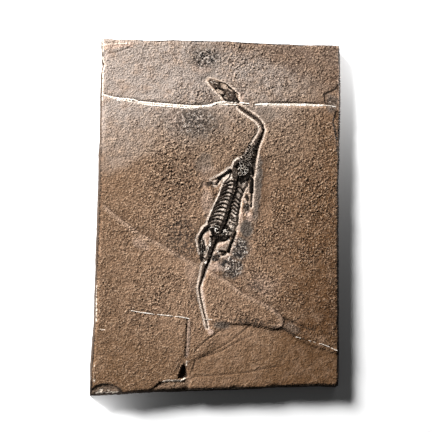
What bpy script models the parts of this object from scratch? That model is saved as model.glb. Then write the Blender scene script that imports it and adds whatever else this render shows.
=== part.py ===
"""Fossil Keichousaurus skeleton in a slab of shale, lying on its back face.

Frame: the slab rests on z = 0 with the fossil face up. +Y runs from the tail
towards the head, +X is to the right seen from above, and the origin is the
centre of the slab's footprint. All dimensions are in millimetres here and are
turned into metres by MM. The bones lie in a shallow trough that was scraped
into the bedding face, each one clear of the rock and of its neighbours.
"""
import math
import random

import bmesh
import bpy
from mathutils import Vector, noise

MM = 0.001
SEED = 7

# ---- driving dimensions, millimetres ----
SLAB_THICKNESS = 12.0
TROUGH_DEPTH = 1.6
TROUGH_WALL_RUN = 0.8
BONE_GAP = 0.3
ARRIS_DROP = 0.9
ARRIS_RUN = 0.7
GRID_STEP = 13.0
RELIEF = 0.28
LEDGE_DEPTH = 0.8
SKULL_LENGTH = 31.0
SKULL_HALF_WIDTH = 6.0
SKULL_THICKNESS = 1.6
PLATE_THICKNESS = 1.2
NECK_PITCH = 2.7
TRUNK_PITCH = 2.9
TAIL_PITCH = 2.6
RIB_RADIUS = 0.75
RIB_INNER_OFFSET = 2.3

FLOOR_Z = SLAB_THICKNESS - TROUGH_DEPTH
BED_Z = FLOOR_Z + BONE_GAP

# ---- the slab's edges, corner to corner, anticlockwise from the top left ----
LEFT_EDGE = [(-102.8, 150.6), (-103.2, 143.5), (-101.0, 141.2), (-101.0, 134.5), (-102.5, 127.5),
             (-103.8, 120.0), (-104.0, 100.0), (-104.0, 75.0), (-104.1, 40.0), (-104.4, 6.0),
             (-105.2, -32.0), (-105.8, -72.0), (-105.8, -93.0), (-107.0, -108.0), (-108.2, -128.0),
             (-108.7, -143.0), (-109.0, -154.4)]
BOTTOM_EDGE = [(-100.0, -154.3), (-84.0, -153.5), (-61.0, -152.1), (-41.5, -151.5), (-16.0, -150.6),
               (8.5, -149.7), (37.5, -148.6), (41.5, -147.9), (70.0, -148.0), (89.5, -147.6),
               (102.9, -148.4)]
RIGHT_EDGE = [(103.4, -116.0), (103.9, -82.0), (104.3, -43.0), (105.1, 1.0), (105.2, 31.0),
              (106.5, 50.0), (107.5, 81.0), (108.6, 113.0), (109.0, 131.5), (109.0, 149.0),
              (108.4, 154.2)]
TOP_EDGE = [(103.8, 154.5), (95.0, 154.0), (81.0, 152.9), (62.5, 152.9), (31.0, 152.4), (6.5, 152.8),
            (-18.5, 151.6), (-42.0, 151.2), (-66.5, 149.2), (-75.0, 149.8), (-92.5, 148.9)]
# How far the side faces splay out from the top arris to the base, by side.
SPLAY_LEFT = 1.2
SPLAY_BOTTOM = 2.1

# ---- the spine, head to tail ----
NECK = [(16.6, 94.4), (20.7, 91.5), (26.1, 88.1), (32.3, 83.9), (36.0, 78.4), (36.4, 74.0),
        (34.7, 68.8), (31.3, 61.6), (28.1, 54.4), (24.2, 46.6)]
NECK_RADII = [1.2, 1.4, 1.5, 1.6, 1.6, 1.7, 2.0, 2.5, 3.1, 3.0]
TRUNK = [(22.0, 42.6), (18.8, 37.8), (15.6, 33.6), (13.6, 29.0), (13.3, 24.0), (12.1, 18.8),
         (10.3, 13.5), (7.9, 5.5), (5.1, -4.0), (2.6, -10.2), (-0.4, -16.4)]
TRUNK_RADII = [1.9, 1.8, 1.7, 1.7, 1.7, 1.7, 1.6, 1.6, 1.6, 1.5, 1.4]
TAIL = [(-4.3, -24.2), (-6.2, -30.4), (-8.8, -36.4), (-12.4, -42.8), (-14.4, -49.0), (-17.0, -57.5),
        (-18.6, -63.5), (-18.1, -68.6), (-16.4, -76.1), (-14.4, -83.7), (-13.0, -89.6), (-11.4, -94.8)]
TAIL_RADII = [2.1, 2.0, 1.8, 1.6, 1.5, 1.2, 1.1, 1.0, 0.85, 0.7, 0.55, 0.4]

# ---- ribs: a point half-way out and the outer end ----
LEFT_RIBS = [((8.4, 28.6), (5.0, 26.6)), ((8.0, 25.3), (4.0, 23.4)), ((6.4, 22.2), (3.0, 20.2)),
             ((5.6, 18.7), (1.8, 17.1)), ((4.6, 15.6), (0.4, 13.7)), ((3.8, 12.5), (-1.4, 10.6)),
             ((1.6, 9.1), (-3.2, 6.8)), ((0.3, 5.7), (-4.5, 3.6)), ((-0.6, 2.1), (-5.6, 0.6)),
             ((-1.6, -1.2), (-6.7, -2.5)), ((-3.2, -4.5), (-8.0, -5.5)), ((-4.4, -7.7), (-8.8, -8.6))]
RIGHT_RIBS = [((16.9, 22.6), (18.0, 20.9)), ((15.9, 19.3), (17.0, 17.3)), ((14.9, 15.6), (16.0, 13.3)),
              ((13.9, 11.5), (15.3, 9.0)), ((12.4, 7.6), (14.4, 4.9)), ((11.4, 4.0), (13.5, 1.2)),
              ((10.0, 0.4), (12.6, -2.2)), ((8.8, -3.2), (11.6, -5.4)), ((7.4, -6.6), (10.6, -8.4))]
GASTRALIA_LEFT = [(1.2, 22.6), (-0.4, 17.0), (-2.0, 13.0), (-3.8, 9.4), (-5.6, 5.6), (-7.2, 2.0),
                  (-8.6, -2.0), (-10.1, -5.6), (-11.2, -8.6)]
GASTRALIA_RIGHT = [(23.2, 28.0), (20.6, 22.6), (18.9, 17.8), (17.7, 11.9), (16.7, 6.0), (16.0, -1.2),
                   (15.0, -7.3), (13.6, -12.0)]

# ---- limb bones: path, radii along it, and how flat they are pressed ----
LIMB_BONES = {
    "scapula_left": ([(16.2, 47.2), (14.4, 44.9), (12.5, 42.6)], [1.1, 2.1, 1.3], 0.55),
    "scapula_right": ([(26.5, 42.0), (27.9, 38.6), (27.6, 35.0)], [0.9, 1.2, 0.9], 0.75),
    "humerus_left": ([(8.3, 38.0), (3.1, 34.2), (-2.2, 30.6)], [1.4, 1.0, 1.3], 0.75),
    "radius_left": ([(-3.9, 30.2), (-7.2, 28.8)], [0.7, 0.6], 0.75),
    "ulna_left": ([(-1.9, 28.2), (-4.4, 25.2)], [0.9, 0.8], 0.75),
    "humerus_right": ([(27.5, 31.6), (27.0, 25.0), (26.3, 18.6)], [1.6, 1.3, 1.4], 0.7),
    "ulna_right": ([(23.1, 16.6), (23.8, 13.6), (24.2, 11.0)], [1.0, 1.6, 1.0], 0.6),
    "radius_right": ([(26.8, 16.0), (26.6, 12.6), (26.3, 9.0)], [0.55, 0.5, 0.55], 0.9),
    "ilium_left": ([(-8.6, -13.6), (-7.2, -15.4), (-6.2, -18.0)], [0.7, 0.8, 0.6], 0.8),
    "pubis_right": ([(5.0, -10.6), (7.0, -12.2), (8.0, -14.8)], [0.7, 0.9, 0.7], 0.8),
    "femur_left": ([(-11.4, -11.6), (-13.8, -14.0), (-16.3, -17.4), (-18.2, -21.4)],
                   [1.1, 0.9, 0.9, 1.1], 0.75),
    "tibia_left": ([(-15.4, -23.4), (-14.0, -28.0)], [0.9, 0.7], 0.75),
    "fibula_left": ([(-19.4, -24.2), (-18.2, -29.0), (-17.5, -33.2)], [0.8, 0.6, 0.7], 0.75),
    "femur_right": ([(10.9, -15.4), (9.8, -19.5), (8.2, -24.8), (5.6, -31.4)],
                    [1.1, 0.9, 0.9, 1.1], 0.75),
    "tibia_right": ([(2.8, -31.0), (-1.2, -32.8)], [0.8, 0.7], 0.75),
    "fibula_right": ([(4.4, -34.2), (1.4, -36.0)], [0.7, 0.6], 0.75),
}

# ---- flat bones: outline of each plate ----
PLATE_BONES = {
    "coracoid_left": [(10.4, 39.7), (10.1, 34.5), (10.4, 31.5), (11.2, 31.4), (12.4, 34.4),
                      (14.0, 37.4), (13.6, 40.0)],
    "coracoid_right": [(18.0, 31.4), (17.1, 28.8), (18.2, 27.2), (21.6, 29.4), (24.6, 32.0),
                       (24.3, 33.3)],
    "pubis_left": [(-5.5, -14.4), (-5.0, -16.0), (-3.6, -16.6), (-2.3, -15.8), (-2.1, -14.2),
                   (-3.0, -12.9), (-4.6, -12.8)],
    "ischium_left": [(-4.7, -20.0), (-4.4, -21.9), (-2.2, -22.2), (-2.0, -19.5)],
    "ischium_right": [(-1.0, -19.1), (-0.7, -22.0), (1.4, -23.2), (5.4, -21.8), (7.6, -19.1),
                      (2.9, -19.9)],
}

# ---- hands and feet: root of the fan, direction in degrees, length, spread ----
FANS = {
    "hand_left": ((-7.9, 27.4), 214.0, 6.0, 46.0),
    "hand_right": ((23.6, 9.4), 262.0, 6.4, 40.0),
    "foot_left": ((-17.3, -34.4), 278.0, 6.6, 34.0),
    "foot_right": ((-1.6, -36.0), 222.0, 6.4, 44.0),
}

# ---- calcite veins: path and radii ----
VEINS = {
    "vein_left": ([(-101.4, 99.6), (-89.2, 97.0), (-79.0, 96.6), (-71.8, 94.9), (-57.5, 94.1),
                   (-43.1, 93.6), (-17.7, 93.1), (-8.6, 94.4), (-3.0, 96.3), (4.0, 96.8),
                   (14.0, 96.9), (24.6, 97.2)],
                  [0.9, 1.0, 1.2, 1.2, 1.2, 1.2, 1.2, 1.1, 0.9, 0.8, 0.8, 0.5]),
    "vein_right": ([(31.4, 96.6), (47.6, 97.6), (60.0, 98.2), (73.9, 98.7), (88.3, 98.4),
                    (94.0, 98.9), (104.6, 97.8)],
                   [0.5, 1.2, 1.4, 1.3, 1.2, 0.6, 0.4]),
    "vein_lower_left": ([(-75.8, -83.9), (-63.2, -85.9), (-45.1, -87.8), (-26.5, -90.2)],
                        [0.4, 0.5, 0.5, 0.4]),
    "vein_lower_right": ([(76.0, -107.6), (85.7, -110.8), (95.4, -113.8), (100.6, -115.6)],
                         [0.5, 0.6, 0.6, 0.5]),
}
VEIN_FLATTEN = 0.6
VEIN_GAP = 0.3

# ---- steps in the bedding face: outline of the lowered area and its depth ----
LOW_BED = [(-4.0, -96.0), (8.0, -94.8), (21.0, -95.4), (30.0, -97.0), (43.0, -98.8), (54.0, -99.2),
           (58.0, -102.0), (65.4, -107.4), (79.0, -112.4), (95.0, -117.4), (112.0, -122.0),
           (112.0, -160.0), (-30.0, -160.0), (-29.0, -128.0), (-17.8, -122.4), (-6.0, -110.0)]
EDGE_FLAKE = [(116.0, 97.0), (104.0, 92.0), (102.6, 84.0), (103.6, 76.0), (104.8, 66.0), (116.0, 61.0)]
PIT = [(-30.6, -129.6), (-35.2, -139.2), (-32.0, -139.6), (-27.8, -137.2)]
CORNER_CHIP = [(-116.0, -142.0), (-96.0, -141.5), (-86.0, -145.5), (-82.0, -160.0), (-116.0, -160.0)]

# ---- colours ----
SHALE = (0.22, 0.14, 0.085)
BONE = (0.030, 0.020, 0.014)
CALCITE = (0.78, 0.70, 0.60)


def clear_scene():
    for obj in list(bpy.data.objects):
        bpy.data.objects.remove(obj, do_unlink=True)


def make_collection(name):
    collection = bpy.data.collections.new(name)
    bpy.context.scene.collection.children.link(collection)
    return collection


def make_material(name, colour, roughness):
    material = bpy.data.materials.new(name)
    material.use_nodes = True
    shader = material.node_tree.nodes["Principled BSDF"]
    shader.inputs["Base Color"].default_value = (*colour, 1.0)
    shader.inputs["Roughness"].default_value = roughness
    shader.inputs["Metallic"].default_value = 0.0
    material.diffuse_color = (*colour, 1.0)
    return material


def add_object(name, data, collection, material=None):
    obj = bpy.data.objects.new(name, data)
    collection.objects.link(obj)
    if material is not None:
        data.materials.append(material)
    return obj


def mark_as_cutter(obj):
    obj.hide_render = True
    obj.display_type = 'WIRE'


def smooth_path(points, spacing):
    """Points at even distances along a Catmull-Rom curve through the given ones."""
    knots = [Vector((x, y, 0.0)) for x, y in points]
    fine = []
    for i in range(len(knots) - 1):
        a = knots[max(i - 1, 0)]
        b = knots[i]
        c = knots[i + 1]
        d = knots[min(i + 2, len(knots) - 1)]
        for k in range(24):
            t = k / 24
            fine.append((i + t, 0.5 * (2 * b + (c - a) * t + (2 * a - 5 * b + 4 * c - d) * t ** 2
                                       + (3 * b - a - 3 * c + d) * t ** 3)))
    fine.append((len(knots) - 1.0, knots[-1].copy()))
    length = sum((fine[i + 1][1] - fine[i][1]).length for i in range(len(fine) - 1))
    count = max(1, round(length / spacing))
    step = length / count
    samples = [fine[0]]
    walked = 0.0
    for i in range(1, len(fine)):
        walked += (fine[i][1] - fine[i - 1][1]).length
        if walked >= step * len(samples) - 1e-6 and len(samples) < count:
            samples.append(fine[i])
    samples.append(fine[-1])
    return samples


def value_at(values, u):
    """A list of values read at a position between its items."""
    i = min(int(u), len(values) - 2)
    return values[i] + (values[i + 1] - values[i]) * (u - i)


def surface_height(x, y):
    """Height of the slab's bedding face: broad swells and a low step in the lower half."""
    swell = noise.noise(Vector((x / 42.0, y / 42.0, 3.1)))
    lumps = noise.noise(Vector((x / 17.0, y / 17.0, 8.7)))
    return SLAB_THICKNESS + RELIEF * (0.9 * swell + 0.6 * lumps)


def tube(name, centres, radii, flatten, height, collection, material, sides=6, rests=True):
    """A capped round curve pressed flat, resting at the height or centred on it."""
    curve = bpy.data.curves.new(name, 'CURVE')
    curve.dimensions = '3D'
    curve.bevel_depth = MM
    curve.bevel_resolution = sides // 2 - 2
    curve.use_fill_caps = True
    spline = curve.splines.new('POLY')
    spline.points.add(len(centres) - 1)
    for point, centre, radius in zip(spline.points, centres, radii):
        point.co = (centre[0] * MM, centre[1] * MM, radius * MM if rests else 0.0, 1.0)
        point.radius = radius
    obj = add_object(name, curve, collection, material)
    obj.location.z = height * MM
    obj.scale.z = flatten
    return obj


def plate(name, outlines, thickness, bottom, collection, material, bevel=0.25):
    """A flat bone: a 2D outline, with any holes in it, given its thickness."""
    curve = bpy.data.curves.new(name, 'CURVE')
    curve.dimensions = '2D'
    curve.fill_mode = 'BOTH'
    curve.extrude = (thickness / 2 - bevel) * MM
    curve.bevel_depth = bevel * MM
    curve.bevel_resolution = 0
    curve.offset = -bevel * MM
    for outline in outlines:
        spline = curve.splines.new('POLY')
        spline.points.add(len(outline) - 1)
        for point, (x, y) in zip(spline.points, outline):
            point.co = (x * MM, y * MM, 0.0, 1.0)
        spline.use_cyclic_u = True
    obj = add_object(name, curve, collection, material)
    obj.location.z = (bottom + thickness / 2) * MM
    return obj


def curve_to_mesh(obj, collection):
    """The curve object remade as a closed mesh object, with its caps welded on."""
    bpy.context.view_layer.update()
    depsgraph = bpy.context.evaluated_depsgraph_get()
    mesh = bpy.data.meshes.new_from_object(obj.evaluated_get(depsgraph))
    bm = bmesh.new()
    bm.from_mesh(mesh)
    bmesh.ops.remove_doubles(bm, verts=bm.verts, dist=1e-6)
    bm.to_mesh(mesh)
    bm.free()
    name = obj.name
    matrix = obj.matrix_world.copy()
    bpy.data.objects.remove(obj, do_unlink=True)
    made = add_object(name, mesh, collection)
    made.matrix_world = matrix
    return made


def vertebra_string(name, points, radii, pitch, flatten, collection, material, sides):
    """Vertebrae in a row, each a bulge in one pressed string with a waist between two."""
    samples = smooth_path(points, pitch / 2)
    centres = [p for _, p in samples]
    thick = [value_at(radii, u) * (1.0 if i % 2 == 0 else 0.74) for i, (u, _) in enumerate(samples)]
    return tube(name, centres, thick, flatten, BED_Z, collection, material, sides)


def build_spine(collection, bone):
    vertebra_string("neck_vertebrae", NECK, NECK_RADII, NECK_PITCH, 0.45, collection, bone, 6)
    vertebra_string("trunk_vertebrae", TRUNK, TRUNK_RADII, TRUNK_PITCH, 0.65, collection, bone, 6)
    vertebra_string("tail_vertebrae", TAIL, TAIL_RADII, TAIL_PITCH, 0.65, collection, bone, 6)


def spine_point_beside(target):
    """The point a fixed offset out from the trunk, level with a rib and facing it."""
    path = [p for _, p in smooth_path(TRUNK, 0.5)]
    goal = Vector((target[0], target[1], 0.0))
    nearest = min(path, key=lambda p: (p - goal).length)
    return nearest + (goal - nearest).normalized() * RIB_INNER_OFFSET


def build_rib(name, middle, outer, collection, bone):
    inner = spine_point_beside(middle)
    samples = smooth_path([(inner.x, inner.y), middle, outer], 2.0)
    thick = [RIB_RADIUS * value_at([1.1, 1.0, 0.6], u) for u, _ in samples]
    tube(name, [p for _, p in samples], thick, 0.9, BED_Z, collection, bone)


def build_ribs(collection, bone):
    for i, (middle, outer) in enumerate(LEFT_RIBS):
        build_rib(f"rib_left_{i + 1:02d}", middle, outer, collection, bone)
    for i, (middle, outer) in enumerate(RIGHT_RIBS):
        build_rib(f"rib_right_{i + 1:02d}", middle, outer, collection, bone)
    for name, points in (("gastralia_left", GASTRALIA_LEFT), ("gastralia_right", GASTRALIA_RIGHT)):
        tube(name, [Vector((x, y, 0.0)) for x, y in points], [0.45] * len(points), 1.0, BED_Z,
             collection, bone)


def build_limbs(collection, bone):
    for name, (points, radii, flatten) in LIMB_BONES.items():
        samples = smooth_path(points, 2.6)
        thick = [value_at(radii, u) for u, _ in samples]
        tube(name, [p for _, p in samples], thick, flatten, BED_Z, collection, bone)
    for name, outline in PLATE_BONES.items():
        plate(name, [outline], PLATE_THICKNESS, BED_Z, collection, bone)


def fan_outline(root, direction, length, spread, digits=5):
    """The outline of a hand or foot: a narrow wrist and five fingers side by side."""
    points = []
    rx, ry = root
    for side in (-1, 1):
        if side == 1:
            for k in range(digits):
                middle = direction + spread * (k / (digits - 1) - 0.5)
                reach = length * (1.0 - 0.25 * abs(k / (digits - 1) - 0.4))
                half = spread / digits * 0.32
                if k > 0:
                    web = math.radians(middle - spread / (digits - 1) / 2)
                    points.append((rx + 0.55 * length * math.cos(web), ry + 0.55 * length * math.sin(web)))
                for turn in (-half, half):
                    angle = math.radians(middle + turn)
                    points.append((rx + reach * math.cos(angle), ry + reach * math.sin(angle)))
        across = math.radians(direction + 90 * side)
        points.append((rx + 0.9 * math.cos(across), ry + 0.9 * math.sin(across)))
    return points


def build_hands_and_feet(collection, bone):
    for name, (root, direction, length, spread) in FANS.items():
        plate(name, [fan_outline(root, direction, length, spread)], PLATE_THICKNESS * 0.8, BED_Z,
              collection, bone, bevel=0.15)


def ellipse(centre, radii, turn, count):
    points = []
    for k in range(count):
        angle = 2 * math.pi * k / count
        x = radii[0] * math.cos(angle)
        y = radii[1] * math.sin(angle)
        c = math.cos(math.radians(turn))
        s = math.sin(math.radians(turn))
        points.append((centre[0] + x * c - y * s, centre[1] + x * s + y * c))
    return points


def build_skull(collection, bone):
    """The skull roof, snout at its own origin and pointing along -X, mirrored about its midline."""
    half = [(0.0, 0.35), (0.04, 0.62), (0.13, 0.74), (0.25, 0.88), (0.40, 1.0), (0.58, 1.03),
            (0.74, 0.95), (0.88, 0.74), (0.98, 0.46)]
    edge = [(s * SKULL_LENGTH, w * SKULL_HALF_WIDTH * (0.72 if s < 0.2 else 1.0)) for s, w in half]
    outline = edge + [(SKULL_LENGTH * 0.955, 0.0)] + [(s, -w) for s, w in reversed(edge)]
    holes = []
    for side in (1, -1):
        holes.append(ellipse((11.8, 2.9 * side), (3.6, 1.75), 6 * side, 12))
        holes.append(ellipse((20.6, 2.9 * side), (3.4, 1.2), -6 * side, 12))
        holes.append(ellipse((4.6, 1.35 * side), (0.9, 0.55), 0, 8))
    skull = plate("skull", [outline] + holes, SKULL_THICKNESS, BED_Z, collection, bone, bevel=0.3)
    skull.location.x = -9.7 * MM
    skull.location.y = 116.0 * MM
    skull.rotation_euler.z = math.radians(-31.0)
    return skull


def slab_ring():
    """The slab's base outline, as points a hand's breadth apart with chipped edges between."""
    corners = LEFT_EDGE + BOTTOM_EDGE + RIGHT_EDGE + TOP_EDGE
    rng = random.Random(SEED)
    ring = []
    for i, (x, y) in enumerate(corners):
        nx, ny = corners[(i + 1) % len(corners)]
        ring.append((x, y))
        length = math.hypot(nx - x, ny - y)
        pieces = max(1, round(length / 12.0))
        for k in range(1, pieces):
            t = k / pieces
            inward = rng.uniform(0.0, 0.35)
            ring.append((x + (nx - x) * t - (ny - y) / length * inward,
                         y + (ny - y) * t + (nx - x) / length * inward))
    return ring


def splay_at(x, y):
    """How far the side face stands out at the base here: more on the left and lower sides."""
    if x < -95.0 and y > -150.0:
        return SPLAY_LEFT
    if y < -140.0:
        return SPLAY_BOTTOM
    return 0.25


def outward_normals(ring):
    """At each point of an anticlockwise ring, the direction square to it and outwards."""
    normals = []
    for i in range(len(ring)):
        ax, ay = ring[i - 1]
        bx, by = ring[(i + 1) % len(ring)]
        length = math.hypot(bx - ax, by - ay)
        normals.append(((by - ay) / length, -(bx - ax) / length))
    return normals


def slab_body(collection, shale):
    """The blank: the outline drawn up in layers, its top face divided and given its relief."""
    ring = slab_ring()
    normals = outward_normals(ring)
    rng = random.Random(SEED + 1)
    levels = [(0.0, 0.0, 0.0), (4.0, 0.30, 0.3), (8.0, 0.70, 0.3),
              (SLAB_THICKNESS - ARRIS_DROP, 1.0, 0.2), (SLAB_THICKNESS, 1.0, 0.0)]
    bm = bmesh.new()
    loops = []
    for number, (height, part, rough) in enumerate(levels):
        arris = ARRIS_RUN if number == len(levels) - 1 else 0.0
        loop = []
        for (x, y), (nx, ny) in zip(ring, normals):
            inward = part * splay_at(x, y) + arris + rng.uniform(0.0, rough)
            loop.append(bm.verts.new(((x - nx * inward) * MM, (y - ny * inward) * MM, height * MM)))
        loops.append([bm.edges.new((loop[i - 1], loop[i])) for i in range(len(loop))])
    for lower, upper in zip(loops, loops[1:]):
        bmesh.ops.bridge_loops(bm, edges=lower + upper)
    bmesh.ops.holes_fill(bm, edges=loops[0] + loops[-1], sides=0)
    bmesh.ops.recalc_face_normals(bm, faces=bm.faces)
    divide_top(bm)
    for vert in bm.verts:
        if vert.co.z > (SLAB_THICKNESS - 0.01) * MM:
            vert.co.z = surface_height(vert.co.x / MM, vert.co.y / MM) * MM
    bmesh.ops.triangulate(bm, faces=[f for f in bm.faces if f.normal.z > -0.9])
    mesh = bpy.data.meshes.new("slab")
    bm.to_mesh(mesh)
    bm.free()
    return add_object("slab", mesh, collection, shale)


def divide_top(bm):
    """Cuts the top face into a grid so that it can carry the swells of the bedding."""
    top = [f for f in bm.faces if f.calc_center_median().z > (SLAB_THICKNESS - 0.01) * MM]
    for axis, reach in ((Vector((1, 0, 0)), 110.0), (Vector((0, 1, 0)), 156.0)):
        position = -reach + GRID_STEP / 2
        while position < reach:
            edges = {e for f in top for e in f.edges}
            verts = {v for f in top for v in f.verts}
            cut = bmesh.ops.bisect_plane(bm, geom=top + list(edges) + list(verts),
                                         plane_co=axis * position * MM, plane_no=axis, dist=1e-7)
            made = [g for g in cut["geom"] if isinstance(g, bmesh.types.BMFace)]
            top = list(set(made))
            position += GRID_STEP


def trough_outline():
    """The floor of the scraped trough, once round: right side down, left side back up."""
    neck_right = offset_path(NECK[1:-1], [r + 1.3 for r in NECK_RADII[1:-1]], 1)
    neck_left = offset_path(NECK[2:-1], [r + 1.2 for r in NECK_RADII[2:-1]], -1)
    tail_right = offset_path(TAIL[4:], [r + 0.8 for r in TAIL_RADII[4:]], 1)
    tail_left = offset_path(TAIL[4:], [r + 0.7 for r in TAIL_RADII[4:]], -1)
    head_right = [(-12.6, 117.0), (-8.6, 119.0), (-2.4, 118.4), (4.6, 116.6), (10.2, 113.6), (15.6, 109.4),
                  (19.6, 103.6), (20.6, 98.8), (20.4, 95.0)]
    body_right = [(31.6, 43.6), (31.2, 34.0), (30.6, 26.0), (29.6, 17.0), (28.6, 9.6), (27.4, 3.0),
                  (24.4, 0.4), (19.6, -0.4), (17.8, -6.0), (16.0, -12.4), (13.6, -17.0), (12.4, -23.0),
                  (10.8, -29.0), (8.4, -34.4), (4.4, -38.2), (0.0, -42.2), (-6.0, -45.0)]
    tail_end = [(-10.4, -98.4), (-8.2, -101.6), (-9.8, -102.2)]
    body_left = [(-17.4, -44.0), (-19.8, -41.6), (-20.4, -36.0), (-21.2, -29.0), (-21.4, -22.4),
                 (-19.4, -17.4), (-16.4, -12.6), (-13.8, -9.6), (-12.6, -6.4), (-10.8, -1.6), (-9.4, 2.6),
                 (-7.8, 6.2), (-6.0, 10.0), (-4.2, 13.6), (-2.6, 17.6), (-1.6, 21.4), (-3.2, 23.2),
                 (-7.0, 22.6), (-12.4, 20.8), (-15.2, 23.2), (-14.9, 27.4), (-11.4, 31.0), (-4.6, 34.4),
                 (1.6, 38.4), (7.0, 42.4), (9.4, 46.4), (14.8, 50.6), (20.6, 52.4)]
    head_left = [(13.0, 94.0), (6.6, 96.0), (0.4, 97.4), (-3.8, 101.6), (-7.4, 106.4), (-10.2, 110.6),
                 (-12.4, 114.4)]
    return (head_right + neck_right + body_right + tail_right + tail_end
            + tail_left[::-1] + body_left + neck_left[::-1] + head_left)


def offset_path(points, widths, side):
    """The path's points moved sideways; side 1 is to the left of the way it runs."""
    moved = []
    for i, (x, y) in enumerate(points):
        ax, ay = points[max(i - 1, 0)]
        bx, by = points[min(i + 1, len(points) - 1)]
        length = math.hypot(bx - ax, by - ay)
        moved.append((x - (by - ay) / length * widths[i] * side, y + (bx - ax) / length * widths[i] * side))
    return moved


def sloped_cutter(name, outline, bottom, top, run, collection):
    """A solid under the outline whose walls lean outwards as they rise."""
    count = len(outline)
    area = sum(outline[i - 1][0] * outline[i][1] - outline[i][0] * outline[i - 1][1] for i in range(count))
    if area < 0:
        outline = outline[::-1]
    wide = []
    for i, (x, y) in enumerate(outline):
        ax, ay = outline[i - 1]
        bx, by = outline[(i + 1) % count]
        length = math.hypot(bx - ax, by - ay)
        wide.append((x + (by - ay) / length * run, y - (bx - ax) / length * run))
    bm = bmesh.new()
    low = [bm.verts.new((x * MM, y * MM, bottom * MM)) for x, y in outline]
    high = [bm.verts.new((x * MM, y * MM, top * MM)) for x, y in wide]
    bm.faces.new(low[::-1])
    bm.faces.new(high)
    for i in range(count):
        j = (i + 1) % count
        bm.faces.new((low[i], low[j], high[j], high[i]))
    bmesh.ops.triangulate(bm, faces=[f for f in bm.faces if len(f.verts) == 4])
    bmesh.ops.recalc_face_normals(bm, faces=bm.faces)
    mesh = bpy.data.meshes.new(name)
    bm.to_mesh(mesh)
    bm.free()
    cutter = add_object(name, mesh, collection)
    mark_as_cutter(cutter)
    return cutter


def build_veins(collection, cutters, calcite):
    """Each vein, and the groove it stands in, from the same line."""
    grooves = []
    for name, (points, radii) in VEINS.items():
        samples = smooth_path(points, 9.0)
        centres = [p for _, p in samples]
        thick = [value_at(radii, u) for u, _ in samples]
        middle = SLAB_THICKNESS - 0.2
        tube(name, centres, thick, VEIN_FLATTEN, middle, collection, calcite, rests=False)
        wider = [r + VEIN_GAP + 0.1 for r in thick]
        flatten = VEIN_FLATTEN + 0.22
        longer = list(centres)
        longer[0] = centres[0] + (centres[0] - centres[1]).normalized() * (VEIN_GAP + 0.1)
        longer[-1] = centres[-1] + (centres[-1] - centres[-2]).normalized() * (VEIN_GAP + 0.1)
        groove = tube(name + "_groove", longer, wider, flatten, middle, cutters, calcite, rests=False)
        groove = curve_to_mesh(groove, cutters)
        mark_as_cutter(groove)
        grooves.append(groove)
    return grooves


def cut(obj, cutter):
    modifier = obj.modifiers.new(cutter.name, 'BOOLEAN')
    modifier.operation = 'DIFFERENCE'
    modifier.solver = 'EXACT'
    modifier.object = cutter


def build_slab(collection, cutters, shale, grooves):
    slab = slab_body(collection, shale)
    rise = SLAB_THICKNESS + 1.5
    cut(slab, sloped_cutter("trough", trough_outline(), FLOOR_Z, rise,
                            TROUGH_WALL_RUN * (rise - FLOOR_Z) / TROUGH_DEPTH, cutters))
    cut(slab, sloped_cutter("low_bed", LOW_BED, SLAB_THICKNESS - LEDGE_DEPTH, rise, 0.8, cutters))
    cut(slab, sloped_cutter("corner_chip", CORNER_CHIP, SLAB_THICKNESS - 2.2, rise, 3.0, cutters))
    cut(slab, sloped_cutter("edge_flake", EDGE_FLAKE, SLAB_THICKNESS - 1.0, rise, 1.5, cutters))
    cut(slab, sloped_cutter("pit", PIT, SLAB_THICKNESS - 1.9, rise, 1.5, cutters))
    for groove in grooves:
        cut(slab, groove)
    return slab


def main():
    clear_scene()
    parts = make_collection("fossil_keichousaurus")
    cutters = make_collection("cutters")
    shale = make_material("shale", SHALE, 0.85)
    bone = make_material("bone", BONE, 0.45)
    calcite = make_material("calcite", CALCITE, 0.55)
    grooves = build_veins(parts, cutters, calcite)
    build_slab(parts, cutters, shale, grooves)
    build_skull(parts, bone)
    build_spine(parts, bone)
    build_ribs(parts, bone)
    build_limbs(parts, bone)
    build_hands_and_feet(parts, bone)


main()
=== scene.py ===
# %% [markdown]
# # A small marine reptile in its slab of shale
# The real object is one loose slab. A skeleton lies on its bedding face, in a shallow trough that
# a preparator scraped round the bones, and white calcite fills a few old cracks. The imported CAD
# model gives every place and size here, so the first step is to load it and keep its box.

# %% Load the frame
import math
import random

import bmesh
import bpy
import numpy as np
from mathutils import Matrix, Vector, noise
from mathutils.bvhtree import BVHTree


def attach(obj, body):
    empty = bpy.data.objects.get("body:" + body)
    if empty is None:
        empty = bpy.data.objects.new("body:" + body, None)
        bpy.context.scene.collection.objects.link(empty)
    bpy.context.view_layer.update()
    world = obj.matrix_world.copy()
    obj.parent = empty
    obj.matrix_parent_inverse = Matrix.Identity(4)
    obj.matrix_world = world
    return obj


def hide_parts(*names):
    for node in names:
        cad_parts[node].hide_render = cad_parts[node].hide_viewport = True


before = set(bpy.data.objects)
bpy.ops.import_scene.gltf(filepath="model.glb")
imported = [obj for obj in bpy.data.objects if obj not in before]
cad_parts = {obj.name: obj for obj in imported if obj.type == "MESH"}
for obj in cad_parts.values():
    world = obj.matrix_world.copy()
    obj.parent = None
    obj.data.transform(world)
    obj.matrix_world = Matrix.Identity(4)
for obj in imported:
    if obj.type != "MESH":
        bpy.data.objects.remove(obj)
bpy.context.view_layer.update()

MM = 0.001

# %% [markdown]
# ## Shader arithmetic
# A material's maths reads best as a formula. This small class wraps one socket: arithmetic on it
# adds Math nodes, and `add` makes any other node from its type, its settings and its inputs.

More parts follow.
